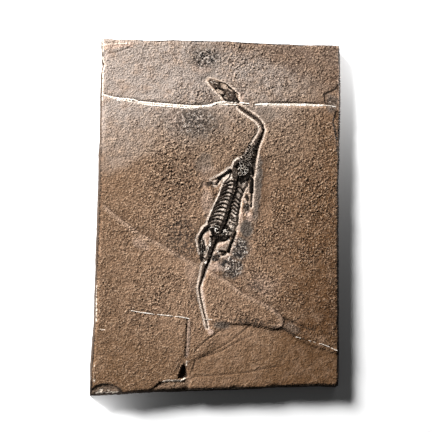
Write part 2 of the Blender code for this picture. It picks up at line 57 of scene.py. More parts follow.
# %% A socket that does arithmetic
class Wire:
    """One output socket of a node tree."""

    def __init__(self, tree, socket):
        self.tree = tree
        self.socket = socket

    def add(self, kind, settings=None, inputs=None, output=0):
        """A new node; stops in the settings are a ramp's (position, colour) pairs."""
        node = self.tree.nodes.new(kind)
        for key, value in (settings or {}).items():
            if key == "stops":
                ramp = node.color_ramp.elements
                while len(ramp) < len(value):
                    ramp.new(0.5)
                for stop, (position, colour) in zip(ramp, value):
                    stop.position = position
                    stop.color = (*colour, 1.0)
            else:
                setattr(node, key, value)
        for key, value in (inputs or {}).items():
            if isinstance(value, Wire):
                self.tree.links.new(value.socket, node.inputs[key])
            else:
                node.inputs[key].default_value = value
        return Wire(self.tree, node.outputs[output])

    def math(self, operation, *values, clamp=False):
        settings = {"operation": operation, "use_clamp": clamp}
        return self.add("ShaderNodeMath", settings, dict(enumerate(values)))

    def __add__(self, other):
        return self.math("ADD", self, other)

    __radd__ = __add__

    def __sub__(self, other):
        return self.math("SUBTRACT", self, other)

    def __rsub__(self, other):
        return self.math("SUBTRACT", other, self)

    def __mul__(self, other):
        return self.math("MULTIPLY", self, other)

    __rmul__ = __mul__

    def __truediv__(self, other):
        return self.math("DIVIDE", self, other)

    def __abs__(self):
        return self.math("ABSOLUTE", self)

    def clamped(self):
        return self.math("ADD", self, 0.0, clamp=True)

    def ramp(self, low, high):
        """0 at low, 1 at high, with smooth ends."""
        settings = {"interpolation_type": "SMOOTHSTEP"}
        return self.add("ShaderNodeMapRange", settings, {0: self, 1: low, 2: high, 3: 0.0, 4: 1.0})

    def fade(self, low, high):
        """1 at low, 0 at high, with smooth ends."""
        return 1.0 - self.ramp(low, high)

    def mix(self, first, second, blend="MIX"):
        """This value as the share of the second colour over the first."""
        inputs = {0: self, 6: paint(first), 7: paint(second)}
        return self.add("ShaderNodeMix", {"data_type": "RGBA", "blend_type": blend}, inputs, 2)

    def noise(self, scale, detail=2.0, rough=0.5, warp=0.0):
        """A noise value over this vector, its scale in waves per metre."""
        inputs = {"Vector": self, "Scale": scale, "Detail": detail, "Roughness": rough,
                  "Distortion": warp}
        return self.add("ShaderNodeTexNoise", None, inputs)


def paint(colour):
    return colour if isinstance(colour, Wire) else (*colour, 1.0)


def new_material(name):
    """A material with its shader, a Wire on Object coordinates, and a reader of attributes."""
    material = bpy.data.materials.new(name)
    material.use_nodes = True
    tree = material.node_tree
    shader = tree.nodes["Principled BSDF"]
    start = Wire(tree, None)
    place = start.add("ShaderNodeTexCoord", None, None, 3)

    def read(attribute):
        return start.add("ShaderNodeAttribute", {"attribute_name": attribute}, None, 2)

    return material, shader, place, read


def layered(colour, *layers):
    """The colour under one layer after another, each its share and its own colour."""
    for share, tone in layers:
        colour = share.mix(colour, tone)
    return colour


def plug(shader, name, wire):
    wire.tree.links.new(wire.socket, shader.inputs[name])


def bump(shader, layers):
    """Bump nodes in a chain, each layer a height Wire and how far one unit of it rises, in mm."""
    normal = None
    for height, rise in layers:
        inputs = {"Height": height, "Strength": 1.0, "Distance": rise * MM}
        if normal is not None:
            inputs["Normal"] = normal
        normal = height.add("ShaderNodeBump", None, inputs)
    plug(shader, "Normal", normal)


print("shader helpers ready")

# %% [markdown]
# ## Where things lie
# These lines in millimetres trace the skeleton from head to tail, the cracks and the worn steps of
# the bedding. Several pieces use them, so they come first. +Y is towards the head.

# %% Lines on the bedding face
NECK = [(16.6, 94.4), (20.7, 91.5), (26.1, 88.1), (32.3, 83.9), (36.3, 78.6), (36.9, 74.0),
        (35.0, 68.8), (31.4, 61.6), (28.1, 54.4), (24.2, 46.6)]
NECK_HALF_WIDTHS = [1.8, 2.1, 2.0, 1.9, 1.7, 1.7, 2.2, 3.1, 3.9, 4.6]
TRUNK = [(22.0, 42.6), (18.8, 37.8), (15.6, 33.6), (13.6, 29.0), (13.3, 24.0), (12.1, 18.8),
         (10.3, 13.5), (7.9, 5.5), (5.1, -4.0), (2.6, -10.2), (-0.4, -16.4)]
TRUNK_HALF_WIDTHS = [2.2, 2.1, 2.0, 2.0, 2.0, 2.0, 1.9, 1.9, 1.8, 1.8, 1.8]
TAIL = [(-4.6, -22.6), (-6.0, -26.4), (-7.6, -30.6), (-9.4, -35.4), (-11.4, -40.4), (-13.8, -45.8),
        (-15.2, -50.8), (-17.0, -57.2), (-18.7, -63.8), (-18.1, -69.2), (-16.8, -76.1), (-14.9, -83.7),
        (-13.3, -90.0), (-11.6, -97.4)]
TAIL_HALF_WIDTHS = [2.7, 2.6, 2.4, 2.1, 2.1, 2.2, 1.7, 1.2, 0.8, 0.75, 0.72, 0.68, 0.6, 0.45]
LEFT_CRACK = [(-28.4, -91.0), (-29.0, -99.7), (-29.4, -112.2), (-29.6, -123.0)]
BAND_CRACK = [(-25.2, -92.6), (-25.6, -99.7), (-25.9, -108.0), (-27.0, -117.0), (-28.4, -123.0)]
GREY_BAND = [(-27.0, -92.0), (-27.4, -100.0), (-27.8, -112.0), (-29.0, -121.0)]
TOP_CRACK = [(106.6, 118.4), (103.8, 114.0), (100.7, 112.1), (97.4, 110.9), (93.3, 108.8), (94.0, 104.0),
             (94.5, 100.0)]
EDGE_CRACK = [(104.1, 93.1), (102.6, 88.6), (101.2, 83.9), (102.9, 76.8), (104.4, 68.0), (104.8, 58.0)]
CHIP_CRACK = [(-59.6, -149.6), (-55.9, -146.8), (-51.3, -142.9)]
CORNER_CRACK = [(-97.6, 136.5), (-88.6, 138.8), (-79.5, 142.8)]
CRACKS = [
    LEFT_CRACK,
    [(25.2, -95.7), (17.4, -102.1), (6.0, -110.7), (-6.7, -117.6), (-17.7, -122.9)],
    [(26.3, -104.4), (17.4, -108.0), (9.6, -112.2), (1.0, -117.2), (-11.8, -121.4), (-17.7, -122.9)],
    [(0.2, -99.6), (-8.4, -105.5), (-13.1, -108.4), (-22.5, -118.0)],
    [(-21.5, -125.5), (-23.2, -130.5), (-23.8, -133.8)],
    [(-24.7, -138.7), (-9.2, -137.6), (7.9, -136.4), (25.1, -134.8), (36.3, -132.3), (51.1, -129.8)],
    CHIP_CRACK,
    [(-73.9, -59.6), (-69.3, -62.9), (-62.5, -65.6)],
    TOP_CRACK,
    EDGE_CRACK,
    BAND_CRACK,
    CORNER_CRACK,
]
RIDGE = [(-97.2, 3.0), (-90.8, -2.6), (-82.0, -9.4), (-67.5, -19.3), (-52.7, -26.6), (-39.8, -33.6),
         (-26.5, -41.0), (-16.6, -45.5), (-6.3, -51.5), (5.6, -57.5), (16.7, -66.6), (22.7, -69.8),
         (37.1, -76.0), (44.8, -80.4), (51.5, -85.8), (54.8, -90.9), (54.2, -94.6), (52.3, -96.9),
         (47.0, -98.4)]
LEDGE = [(-6.7, -94.9), (7.9, -94.3), (21.8, -94.7), (29.6, -96.3), (42.7, -98.3), (54.0, -98.7),
         (58.0, -101.5), (65.4, -106.0), (76.8, -109.2), (86.1, -112.0), (95.1, -115.6), (104.0, -119.0)]
# where the lowered bed runs out again, a hole in the rock and two places where the rim chipped off
FADING_STEP = [(-5.0, -96.0), (-9.0, -106.0), (-18.0, -116.0), (-27.0, -124.0), (-34.0, -136.0)]
HOLE = [(-30.9, -127.6), (-34.0, -133.0), (-36.4, -139.8), (-31.8, -140.4), (-27.6, -138.6), (-28.8, -132.6)]
CHIP = [(-60.6, -151.0), (-55.9, -146.8), (-51.3, -142.9), (-48.8, -142.4), (-43.0, -141.8), (-32.9, -141.9),
        (-30.0, -139.9), (-27.8, -137.0), (-24.8, -141.0), (-26.0, -146.0), (-27.0, -156.0), (-62.0, -156.0)]
SHELL_CHIP = (-96.5, -151.5)
SHELL_RADII = (12.5, 7.5)
MAIN_VEINS = [[(-102.0, 98.6), (-79.0, 95.6), (-57.0, 93.2), (-28.0, 92.2), (-8.6, 94.2), (2.0, 97.0),
               (14.0, 97.4)],
              [(31.0, 96.5), (60.0, 98.2), (93.0, 98.9)]]
FOLD = [(55.0, -89.2), (60.2, -91.7), (66.4, -94.2), (73.4, -97.2), (82.0, -99.6)]


def turned(u, v, degrees):
    """The pair u, v turned anticlockwise."""
    c = math.cos(math.radians(degrees))
    s = math.sin(math.radians(degrees))
    return u * c - v * s, u * s + v * c


def smooth_line(points, spacing):
    """Even points along a Catmull-Rom curve, each with its position in the list of points."""
    knots = [Vector((x, y, 0.0)) for x, y in points]
    fine = []
    for i in range(len(knots) - 1):
        a, b = knots[max(i - 1, 0)], knots[i]
        c, d = knots[i + 1], knots[min(i + 2, len(knots) - 1)]
        for k in range(20):
            t = k / 20
            curve = 2 * b + (c - a) * t + (2 * a - 5 * b + 4 * c - d) * t * t
            fine.append((i + t, 0.5 * (curve + (3 * b - a - 3 * c + d) * t ** 3)))
    fine.append((len(knots) - 1.0, knots[-1].copy()))
    run = [0.0]
    for i in range(1, len(fine)):
        run.append(run[-1] + (fine[i][1] - fine[i - 1][1]).length)
    count = max(1, round(run[-1] / spacing))
    samples = []
    for k in range(count + 1):
        goal = run[-1] * k / count
        i = min(max(int(np.searchsorted(run, goal)), 1), len(fine) - 1)
        share = (goal - run[i - 1]) / max(run[i] - run[i - 1], 1e-9)
        samples.append((fine[i - 1][0] + (fine[i][0] - fine[i - 1][0]) * share,
                        fine[i - 1][1].lerp(fine[i][1], share)))
    return samples


def value_at(values, position):
    i = min(int(position), len(values) - 2)
    return values[i] + (values[i + 1] - values[i]) * (position - i)


print("lines:", len(CRACKS), "cracks; neck, trunk and tail of",
      [round(sum((b[1] - a[1]).length for a, b in zip(s, s[1:]))) for s in
       (smooth_line(NECK, 1.0), smooth_line(TRUNK, 1.0), smooth_line(TAIL, 1.0))], "mm")

# %% The bones' places
# a rib is a point in its middle and its tip; the flanks are where the belly ribs end
LEFT_RIBS = [((8.4, 28.6), (5.0, 26.6)), ((8.0, 25.3), (4.0, 23.4)), ((6.4, 22.2), (3.0, 20.2)),
             ((5.6, 18.7), (1.8, 17.1)), ((4.6, 15.6), (0.4, 13.7)), ((3.8, 12.5), (-1.4, 10.6)),
             ((1.6, 9.1), (-3.2, 6.8)), ((0.3, 5.7), (-4.5, 3.6)), ((-0.6, 2.1), (-5.6, 0.6)),
             ((-1.6, -1.2), (-6.7, -2.5)), ((-3.2, -4.5), (-8.0, -5.5)), ((-4.4, -7.7), (-8.8, -8.6))]
RIGHT_RIBS = [((16.6, 23.4), (18.9, 20.6)), ((15.4, 19.4), (17.7, 16.8)), ((13.8, 14.2), (15.7, 11.8)),
              ((13.0, 10.7), (15.0, 8.4)), ((12.2, 7.3), (14.3, 5.1)), ((11.2, 4.5), (13.3, 2.4)),
              ((10.1, 1.6), (12.3, -0.4)), ((8.9, -1.0), (11.0, -3.2)), ((9.3, -4.6), (11.0, -6.4))]
FLANKS = {
    "gastralia_left": [(1.4, 22.6), (-0.2, 17.0), (-2.0, 13.0), (-3.8, 9.4), (-5.6, 5.6), (-7.2, 2.0),
                       (-8.6, -2.0), (-10.1, -5.6), (-11.2, -8.6)],
    "gastralia_right": [(24.4, 28.8), (22.8, 24.4), (20.8, 21.0), (19.3, 17.6), (17.6, 12.4), (16.8, 7.6),
                        (15.8, 2.6), (15.2, -3.2), (14.4, -9.6), (13.2, -12.4)],
}
# a long bone is its points, its half widths at them and its height over its width
LONG_BONES = {
    "scapula_left": ([(15.2, 46.0), (13.9, 44.0), (12.6, 41.6)], [1.4, 2.2, 1.7], 0.58),
    "scapula_right": ([(26.4, 42.4), (27.4, 38.6), (27.0, 34.8)], [1.1, 1.5, 1.1], 0.6),
    "humerus_left": ([(8.6, 38.2), (5.4, 35.8), (1.2, 32.9), (-2.4, 30.5)], [1.5, 1.15, 1.05, 1.4], 0.7),
    "radius_left": ([(-3.7, 30.3), (-5.6, 29.5), (-7.4, 28.8)], [0.8, 0.55, 0.7], 0.75),
    "ulna_left": ([(-2.2, 28.6), (-3.2, 27.0), (-4.5, 25.2)], [1.0, 0.8, 0.9], 0.75),
    "humerus_right": ([(26.8, 31.4), (27.0, 28.0), (26.9, 23.0), (26.6, 18.8)],
                      [1.6, 1.6, 1.55, 1.7], 0.5),
    "ulna_right": ([(22.8, 16.8), (23.0, 14.4), (23.9, 11.0)], [1.2, 1.7, 0.9], 0.5),
    "radius_right": ([(26.9, 17.2), (26.7, 12.0), (26.4, 6.4)], [0.75, 0.62, 0.66], 0.95),
    "ilium_left": ([(-8.7, -13.4), (-7.2, -15.4), (-6.1, -18.2)], [0.9, 1.1, 0.9], 0.75),
    "pubis_right": ([(4.6, -10.2), (7.0, -12.2), (8.2, -15.0)], [0.9, 1.2, 1.0], 0.75),
    "femur_left": ([(-11.0, -11.4), (-13.8, -14.0), (-16.3, -17.4), (-18.4, -21.8)],
                   [1.5, 1.6, 1.2, 1.5], 0.6),
    "tibia_left": ([(-15.6, -23.6), (-14.8, -27.0), (-14.0, -31.0)], [1.1, 0.9, 1.0], 0.7),
    "fibula_left": ([(-19.2, -23.0), (-18.2, -28.0), (-17.2, -33.2)], [1.2, 0.9, 1.1], 0.7),
    "femur_right": ([(12.0, -15.0), (10.5, -20.0), (8.6, -25.6), (5.8, -32.6)],
                    [1.3, 1.05, 1.05, 1.3], 0.75),
    "tibia_right": ([(4.0, -32.9), (1.2, -32.2), (-1.6, -32.6)], [1.0, 0.95, 0.9], 0.7),
    "fibula_right": ([(3.6, -34.4), (2.2, -35.0), (0.8, -35.4)], [0.7, 0.95, 0.9], 0.7),
}
# a hand or foot is where it starts, its heading, its length and its spread in degrees
FANS = {
    "hand_left": ((-7.6, 27.6), 214.0, 6.8, 50.0),
    "hand_right": ((23.4, 9.8), 262.0, 7.6, 44.0),
    "foot_left": ((-17.3, -34.2), 278.0, 7.2, 36.0),
    "foot_right": ((-1.2, -35.6), 222.0, 7.4, 50.0),
}
# the outlines of the flat bones, and of everything dark between the neck and the hip
PLATES = {
    "coracoid_left": [(10.4, 39.4), (10.0, 35.0), (10.5, 31.2), (12.0, 29.4), (14.4, 29.8), (15.0, 33.5),
                      (15.0, 38.0), (13.4, 40.0)],
    "coracoid_right": [(16.4, 32.4), (15.9, 29.0), (16.4, 26.8), (17.7, 26.1), (19.4, 27.4),
                       (22.6, 29.8), (25.8, 32.2), (25.6, 34.6), (21.6, 34.0), (18.4, 33.6)],
    "pubis_left": [(-5.9, -14.4), (-5.3, -16.4), (-3.6, -17.1), (-2.1, -15.9), (-1.9, -14.0),
                   (-2.9, -12.4), (-4.9, -12.4)],
    "ischium_left": [(-5.2, -19.5), (-4.8, -22.4), (-2.0, -22.7), (-1.6, -19.0)],
    "ischium_right": [(-1.2, -18.6), (-0.9, -22.4), (1.4, -23.9), (5.6, -22.3), (8.3, -18.6),
                      (2.9, -19.4)],
}
BODY = ([(26.0, 58.0), (22.6, 51.4), (18.6, 48.4), (14.4, 47.6), (11.6, 44.0), (10.4, 40.0), (8.6, 36.5),
         (6.6, 31.5), (3.2, 28.0)] + FLANKS["gastralia_left"]
        + [(-11.2, -12.0), (-8.8, -15.6), (-7.2, -21.0), (-5.6, -26.0), (-1.6, -25.4), (4.6, -23.6),
           (9.6, -20.0), (12.2, -15.4)] + FLANKS["gastralia_right"][::-1]
        + [(29.4, 33.0), (30.5, 38.0), (31.0, 44.0), (31.7, 50.0), (32.9, 56.0)])
SKULL_SNOUT = (-9.8, 118.0)
SKULL_TURN = -33.3
SKULL_MIDDLE = [(0.0, -1.0), (4.0, -0.9), (10.0, -1.0), (16.0, -1.0), (21.5, -1.8), (24.5, -2.2),
                (27.5, -2.6), (32.8, -1.8)]
SKULL_HALF_WIDTHS = [1.6, 3.1, 4.8, 5.6, 6.1, 5.9, 3.2, 0.6]


def skull_point(s, w):
    """The place in mm of a point s along the skull from its snout and w to its right side."""
    turn = math.radians(SKULL_TURN)
    return (SKULL_SNOUT[0] + s * math.cos(turn) - w * math.sin(turn),
            SKULL_SNOUT[1] + s * math.sin(turn) + w * math.cos(turn))


print(len(LEFT_RIBS) + len(RIGHT_RIBS), "ribs,", len(LONG_BONES) + len(PLATES), "limb and girdle bones")

# %% [markdown]
# ## The slab
# The slab broke out of a thin bed, so its top is a real bedding face: pebbly, stepped and cracked.
# A plain box could never show that. A grid of small faces fitted inside the slab's outline can: its
# corners stay on the outline, it is closest together round the bones, and every point takes its
# height from the CAD slab below it.

# %% Read the CAD slab's outline at any height
def drop(tree, x, y):
    """The height in mm at which a line straight down meets a surface, or None."""
    hit = tree.ray_cast(Vector((x * MM, y * MM, 0.05)), Vector((0, 0, -1)))[0]
    return None if hit is None else hit.z / MM


LEFT_STRAIGHT_FROM = 127.5
LEFT_STRAIGHT_AT = -102.4
slab_copy = bmesh.new()
slab_copy.from_mesh(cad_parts["slab"].data)
bmesh.ops.remove_doubles(slab_copy, verts=slab_copy.verts, dist=1e-6)
slab_tree = BVHTree.FromBMesh(slab_copy)


def let_out(x, y):
    """Moves a point of the outline out by less than a millimetre, where the edge is least worn."""
    if x > 95.0:
        x = min(x + 0.85, 108.9)
    elif x < -95.0 and (y < 60.0 or y > LEFT_STRAIGHT_FROM):
        x = max(x - 0.65, -108.8)
    if y > 140.0:
        y = min(y + 0.75, 154.3)
    elif y < -140.0:
        y = max(y - 0.95 * math.exp(-((x - 30.0) / 50.0) ** 2), -154.2)
    return x, y


def outline_at(height):
    """The slab's outline at a height in mm, cut into four sides from corner to corner."""
    bm = slab_copy.copy()
    cut = bmesh.ops.bisect_plane(bm, geom=bm.verts[:] + bm.edges[:] + bm.faces[:],
                                 plane_co=(0, 0, height * MM), plane_no=(0, 0, 1),
                                 clear_outer=True)["geom_cut"]
    edges = [e for e in cut if isinstance(e, bmesh.types.BMEdge)]
    loops = []
    while edges:
        edge = edges.pop()
        first, last = edge.verts
        loop = [first, last]
        while last is not first:
            step = next((e for e in last.link_edges if e in edges), None)
            if step is None:
                break
            edges.remove(step)
            last = step.other_vert(last)
            loop.append(last)
        loops.append([Vector((v.co.x, v.co.y)) / MM for v in loop[:-1]])
    bm.free()
    ring = max(loops, key=lambda r: max(p.x for p in r) - min(p.x for p in r))
    for p in ring:
        if p.y > LEFT_STRAIGHT_FROM and p.x < -95.0:
            p.x = min(p.x, LEFT_STRAIGHT_AT)
        p.x, p.y = let_out(p.x, p.y)
    area = sum(a.x * b.y - b.x * a.y for a, b in zip(ring, ring[1:] + ring[:1]))
    if area < 0:
        ring = ring[::-1]
    corners = [max(range(len(ring)), key=lambda i: ring[i].x * sx + ring[i].y * sy)
               for sx, sy in ((-1, -1), (1, -1), (1, 1), (-1, 1))]
    sides = []
    for a, b in zip(corners, corners[1:] + corners[:1]):
        sides.append([ring[i % len(ring)] for i in range(a, b + 1 if b > a else b + len(ring) + 1)])
    return sides


def along(side, shares):
    """Points at shares of a side's length."""
    run = np.cumsum([0.0] + [(b - a).length for a, b in zip(side, side[1:])])
    xs = np.interp(np.array(shares) * run[-1], run, [p.x for p in side])
    ys = np.interp(np.array(shares) * run[-1], run, [p.y for p in side])
    return np.stack([xs, ys], axis=-1)


SLAB_TOP = 12.0
TOP_EDGE_Z = 11.2
WHOLE_BELOW = 9.3
top_sides = outline_at(WHOLE_BELOW)
print("outline sides in mm:", [round(sum((b - a).length for a, b in zip(s, s[1:]))) for s in top_sides])

# %% Space the grid, closer round the skeleton
def spaced(low, high, dense_low, dense_high, fine_step, coarse_step):
    """Shares from 0 to 1 whose steps are fine in the dense stretch."""
    stops = []
    for start, end, step in ((low, dense_low, coarse_step), (dense_low, dense_high, fine_step),
                             (dense_high, high, coarse_step)):
        count = round((end - start) / step)
        stops += [start + (end - start) * k / count for k in range(count)]
    stops.append(high)
    return (np.array(stops) - low) / (high - low)


ACROSS = spaced(-106.0, 106.0, -24.0, 43.0, 0.74, 1.00)
UP = spaced(-152.0, 152.0, -104.0, 122.0, 0.84, 0.95)
print("grid", len(ACROSS), "x", len(UP), "points")

# %% Fit the grid inside the outline
def fitted_grid(sides):
    """The Coons patch of the four sides: every grid point's x and y in mm, row by row."""
    bottom = along(sides[0], ACROSS)[None, :, :]
    right = along(sides[1], UP)[:, None, :]
    top = along(sides[2], 1 - ACROSS)[None, :, :]
    left = along(sides[3], 1 - UP)[:, None, :]
    u = ACROSS[None, :, None]
    v = UP[:, None, None]
    corners = ((1 - u) * (1 - v) * bottom[:, :1] + u * (1 - v) * bottom[:, -1:]
               + (1 - u) * v * top[:, :1] + u * v * top[:, -1:])
    return (1 - v) * bottom + v * top + (1 - u) * left + u * right - corners


plan = fitted_grid(top_sides)
X = plan[:, :, 0]
Y = plan[:, :, 1]


def cad_height(x, y):
    """The CAD slab's height, or the top edge's where the ray misses or meets the sloping side."""
    height = drop(slab_tree, x, y)
    return TOP_EDGE_Z if height is None or height < WHOLE_BELOW + 0.4 else height


Z = np.array([[cad_height(x, y) for x, y in row] for row in plan])
print("top heights from", round(float(Z.min()), 2), "to", round(float(Z.max()), 2), "mm")

# %% Distances from lines and outlines
def near_segment(a, b, x, y):
    """For arrays of places: the distance to a segment, the share along it and the side."""
    dx, dy = b[0] - a[0], b[1] - a[1]
    t = np.clip(((x - a[0]) * dx + (y - a[1]) * dy) / (dx * dx + dy * dy), 0.0, 1.0)
    away = np.hypot(x - a[0] - t * dx, y - a[1] - t * dy)
    return away, t, np.where(dx * (y - a[1]) - dy * (x - a[0]) >= 0, 1.0, -1.0)


def offset_from(line, x, y):
    """The signed distance to a line, positive to its left."""
    signed = np.full(x.shape, 1e9)
    for a, b in zip(line, line[1:]):
        away, _, side = near_segment(a, b, x, y)
        signed = np.where(away < np.abs(signed), away * side, signed)
    return signed


def reach_from(line, half_widths, x, y):
    """The distance to the edge of a band along a line, negative inside it."""
    best = np.full(x.shape, 1e9)
    for k in range(len(line) - 1):
        away, t, _ = near_segment(line[k], line[k + 1], x, y)
        best = np.minimum(best, away - half_widths[k] - (half_widths[k + 1] - half_widths[k]) * t)
    return best


def outline_reach(outline, x, y):
    """The distance to a closed outline, negative inside it."""
    best = np.full(x.shape, 1e9)
    inside = np.zeros(x.shape, dtype=bool)
    for a, b in zip(outline, outline[1:] + outline[:1]):
        best = np.minimum(best, near_segment(a, b, x, y)[0])
        if a[1] != b[1]:
            crosses = ((a[1] > y) != (b[1] > y)) & (x < a[0] + (y - a[1]) * (b[0] - a[0]) / (b[1] - a[1]))
            inside ^= crosses
    return np.where(inside, -best, best)


def fan_tip(root, direction, length):
    turn = math.radians(direction)
    return (root[0] + length * math.cos(turn), root[1] + length * math.sin(turn))


BODY_REACH = outline_reach(BODY, X, Y)
SKULL_REACH = reach_from([skull_point(*p) for p in SKULL_MIDDLE], SKULL_HALF_WIDTHS, X, Y)
NEAR = np.minimum.reduce(
    [BODY_REACH, SKULL_REACH, reach_from(NECK, NECK_HALF_WIDTHS, X, Y),
     reach_from(TAIL, TAIL_HALF_WIDTHS, X, Y)]
    + [reach_from(points, wides, X, Y) for points, wides, _ in LONG_BONES.values()])
FAN_REACH = np.minimum.reduce(
    [reach_from([root, fan_tip(root, direction, length)], [1.2, 2.6], X, Y)
     for root, direction, length, _ in FANS.values()])
print("the skeleton covers", round(float((NEAR < 0).mean()) * 100, 1), "% of the face")

# %% [markdown]
# ## Relief of the bedding face
# Three sizes of relief make the real face: broad swells, which the CAD slab already has, pebbly
# grains about two millimetres across, and single features such as a crack, a lip or a chip. The last
# ones are heights that depend on the distance to a line, so they stay sharp along their whole run.

# %% Masks over the bedding face
def blob(cx, cy, rx, ry, turn=0.0, soft=0.5):
    """1 inside an ellipse, falling to 0 over its soft outer part; its edge is ragged."""
    u, v = turned(X - cx, Y - cy, -turn)
    away = np.hypot(u / rx, v / ry) + 0.35 * RAGGED
    return np.clip((1 + soft / 2 - away) / soft, 0.0, 1.0)


def field(scale, seed, octaves=1):
    """Smooth noise over the grid, about -1 to 1, its scale in mm."""
    def one(x, y):
        place = Vector((x / scale, y / scale, seed))
        return noise.fractal(place, 1.0, 2.0, octaves) if octaves > 1 else noise.noise(place)
    return np.array([[one(x, y) for x, y in row] for row in plan])


def rise(values, low, high):
    """0 at low, 1 at high, with smooth ends."""
    share = np.clip((values - low) / (high - low), 0.0, 1.0)
    return share * share * (3 - 2 * share)


def fall(values, low, high):
    """1 at low, 0 at high, with smooth ends."""
    return 1 - rise(values, low, high)


def stroke(line, half_width, soft=0.5):
    """1 along a line, falling to 0 past its half width in mm, with a ragged edge."""
    away = np.abs(offset_from(line, X, Y)) + 0.5 * RAGGED * half_width
    return fall(away, half_width - soft, half_width + soft)


def strongest(blobs, *masks):
    """At every point the highest of the masks and the blobs, each blob a strength and its values."""
    return np.maximum.reduce([strength * blob(*values) for strength, *values in blobs] + list(masks))


print("masks ready")

# %% Noise, and the distances that the masks use
# An _OFF grid is the signed distance to a line. SHELL is 0 in the middle of the shell-shaped chip
# and 1 at its rim. LOW_BED is 1 where the bed below shows.
RAGGED = field(6.0, 11.3, 3)
BROAD = field(30.0, 4.2, 2)
LEDGE_OFF = offset_from(LEDGE, X, Y)
RIDGE_OFF = offset_from(RIDGE, X, Y)
SHELL = np.hypot((X - SHELL_CHIP[0]) / SHELL_RADII[0], (Y - SHELL_CHIP[1]) / SHELL_RADII[1])
LOW_BED = ((LEDGE_OFF < 0) & (X > -30) & (Y < -90) & (Z < 11.5)).astype(float)
from_right = X[:, -1:] - X
from_left = X - X[:, :1]
from_top = Y[-1:] - Y
from_bottom = Y - Y[:1]
CRACK_OFF = np.full(X.shape, 9.0)
for crack in CRACKS:
    off = offset_from(crack, X, Y)
    CRACK_OFF = np.where(np.abs(off) < np.abs(CRACK_OFF), off, CRACK_OFF)
# 1 on the side of the skeleton that the preparator scraped wider
WEST = fall(X - np.interp(Y, [-100, -65, -45, -12, 30, 48, 60, 75, 82, 88, 94, 105, 118],
                         [-12, -18, -11, 2, 14, 20, 31, 37, 35.5, 30, 21, 8, -8]), -3.0, 3.0)
print("low bed:", round(float(LOW_BED.mean()) * 100), "% of the grid")

# %% Where the rock is grey, sooty black, pale or white
# A blob is its strength, middle, radii, turn and softness. GREY is bleached rock and DARK the black
# mottling on it, PALE the worn and scraped rims, and WHITE the thin skins of calcite.
GREY = strongest(
    [(0.6, -15.0, 134.0, 17.0, 14.0), (0.75, -22.0, 79.0, 26.0, 15.0, -8), (1.1, 32.0, 24.0, 4.0, 32.0, -4),
     (1.4, 22.6, -13.0, 6.4, 9.0), (1.0, 31.0, 0.0, 3.0, 6.0), (0.9, 23.0, 4.6, 3.2, 5.4),
     (0.8, -17.0, -31.0, 3.0, 9.0, 12), (0.9, -4.0, -38.4, 4.6, 3.0), (1.1, 17.0, -30.0, 8.0, 11.0),
     (1.0, 8.5, -46.0, 11.0, 9.5, -10), (0.8, -14.0, 44.0, 8.0, 8.0), (0.7, 40.0, 87.0, 10.0, 9.0),
     (1.0, 2.0, -95.5, 8.0, 3.6), (0.6, 100.0, 101.0, 6.0, 8.0), (0.5, 62.0, -98.0, 9.0, 4.0, -20)],
    0.3 * fall(outline_reach(CHIP, X, Y), -0.6, 0.4),
    stroke(GREY_BAND, 1.3) * 0.5,
    0.7 * fall(SHELL, 0.9, 1.1))
DARK = strongest(
    [(1.05, -14.0, 137.0, 11.0, 8.0, 20), (0.7, 100.0, 101.0, 5.0, 8.0), (0.7, 28.0, -92.4, 18.0, 2.6, -3),
     (0.3, 62.0, -97.0, 9.0, 4.0, -20), (0.78, -23.0, 80.0, 18.0, 11.0, 0, 0.8),
     (1.0, 9.0, -46.0, 9.5, 9.0, -10), (1.0, 17.0, -31.0, 7.0, 11.0), (0.75, 1.4, -34.2, 4.0, 2.6),
     (0.8, -17.0, -31.5, 2.6, 9.0, 12), (0.9, -4.4, -38.6, 4.2, 2.6), (0.5, 23.0, 4.6, 2.6, 4.8),
     (0.75, -7.0, 24.0, 5.0, 3.6, 30), (1.0, -9.8, -29.0, 2.0, 9.5, -16), (0.9, -16.6, -30.0, 3.0, 9.0, 10),
     (0.7, -33.0, -22.0, 14.0, 17.0, 20), (0.35, 38.0, 39.0, 7.0, 11.0), (0.22, -30.0, 22.0, 18.0, 22.0),
     (0.6, 30.0, -62.0, 9.0, 4.0, -35), (0.4, -23.5, -72.0, 4.5, 9.0)])
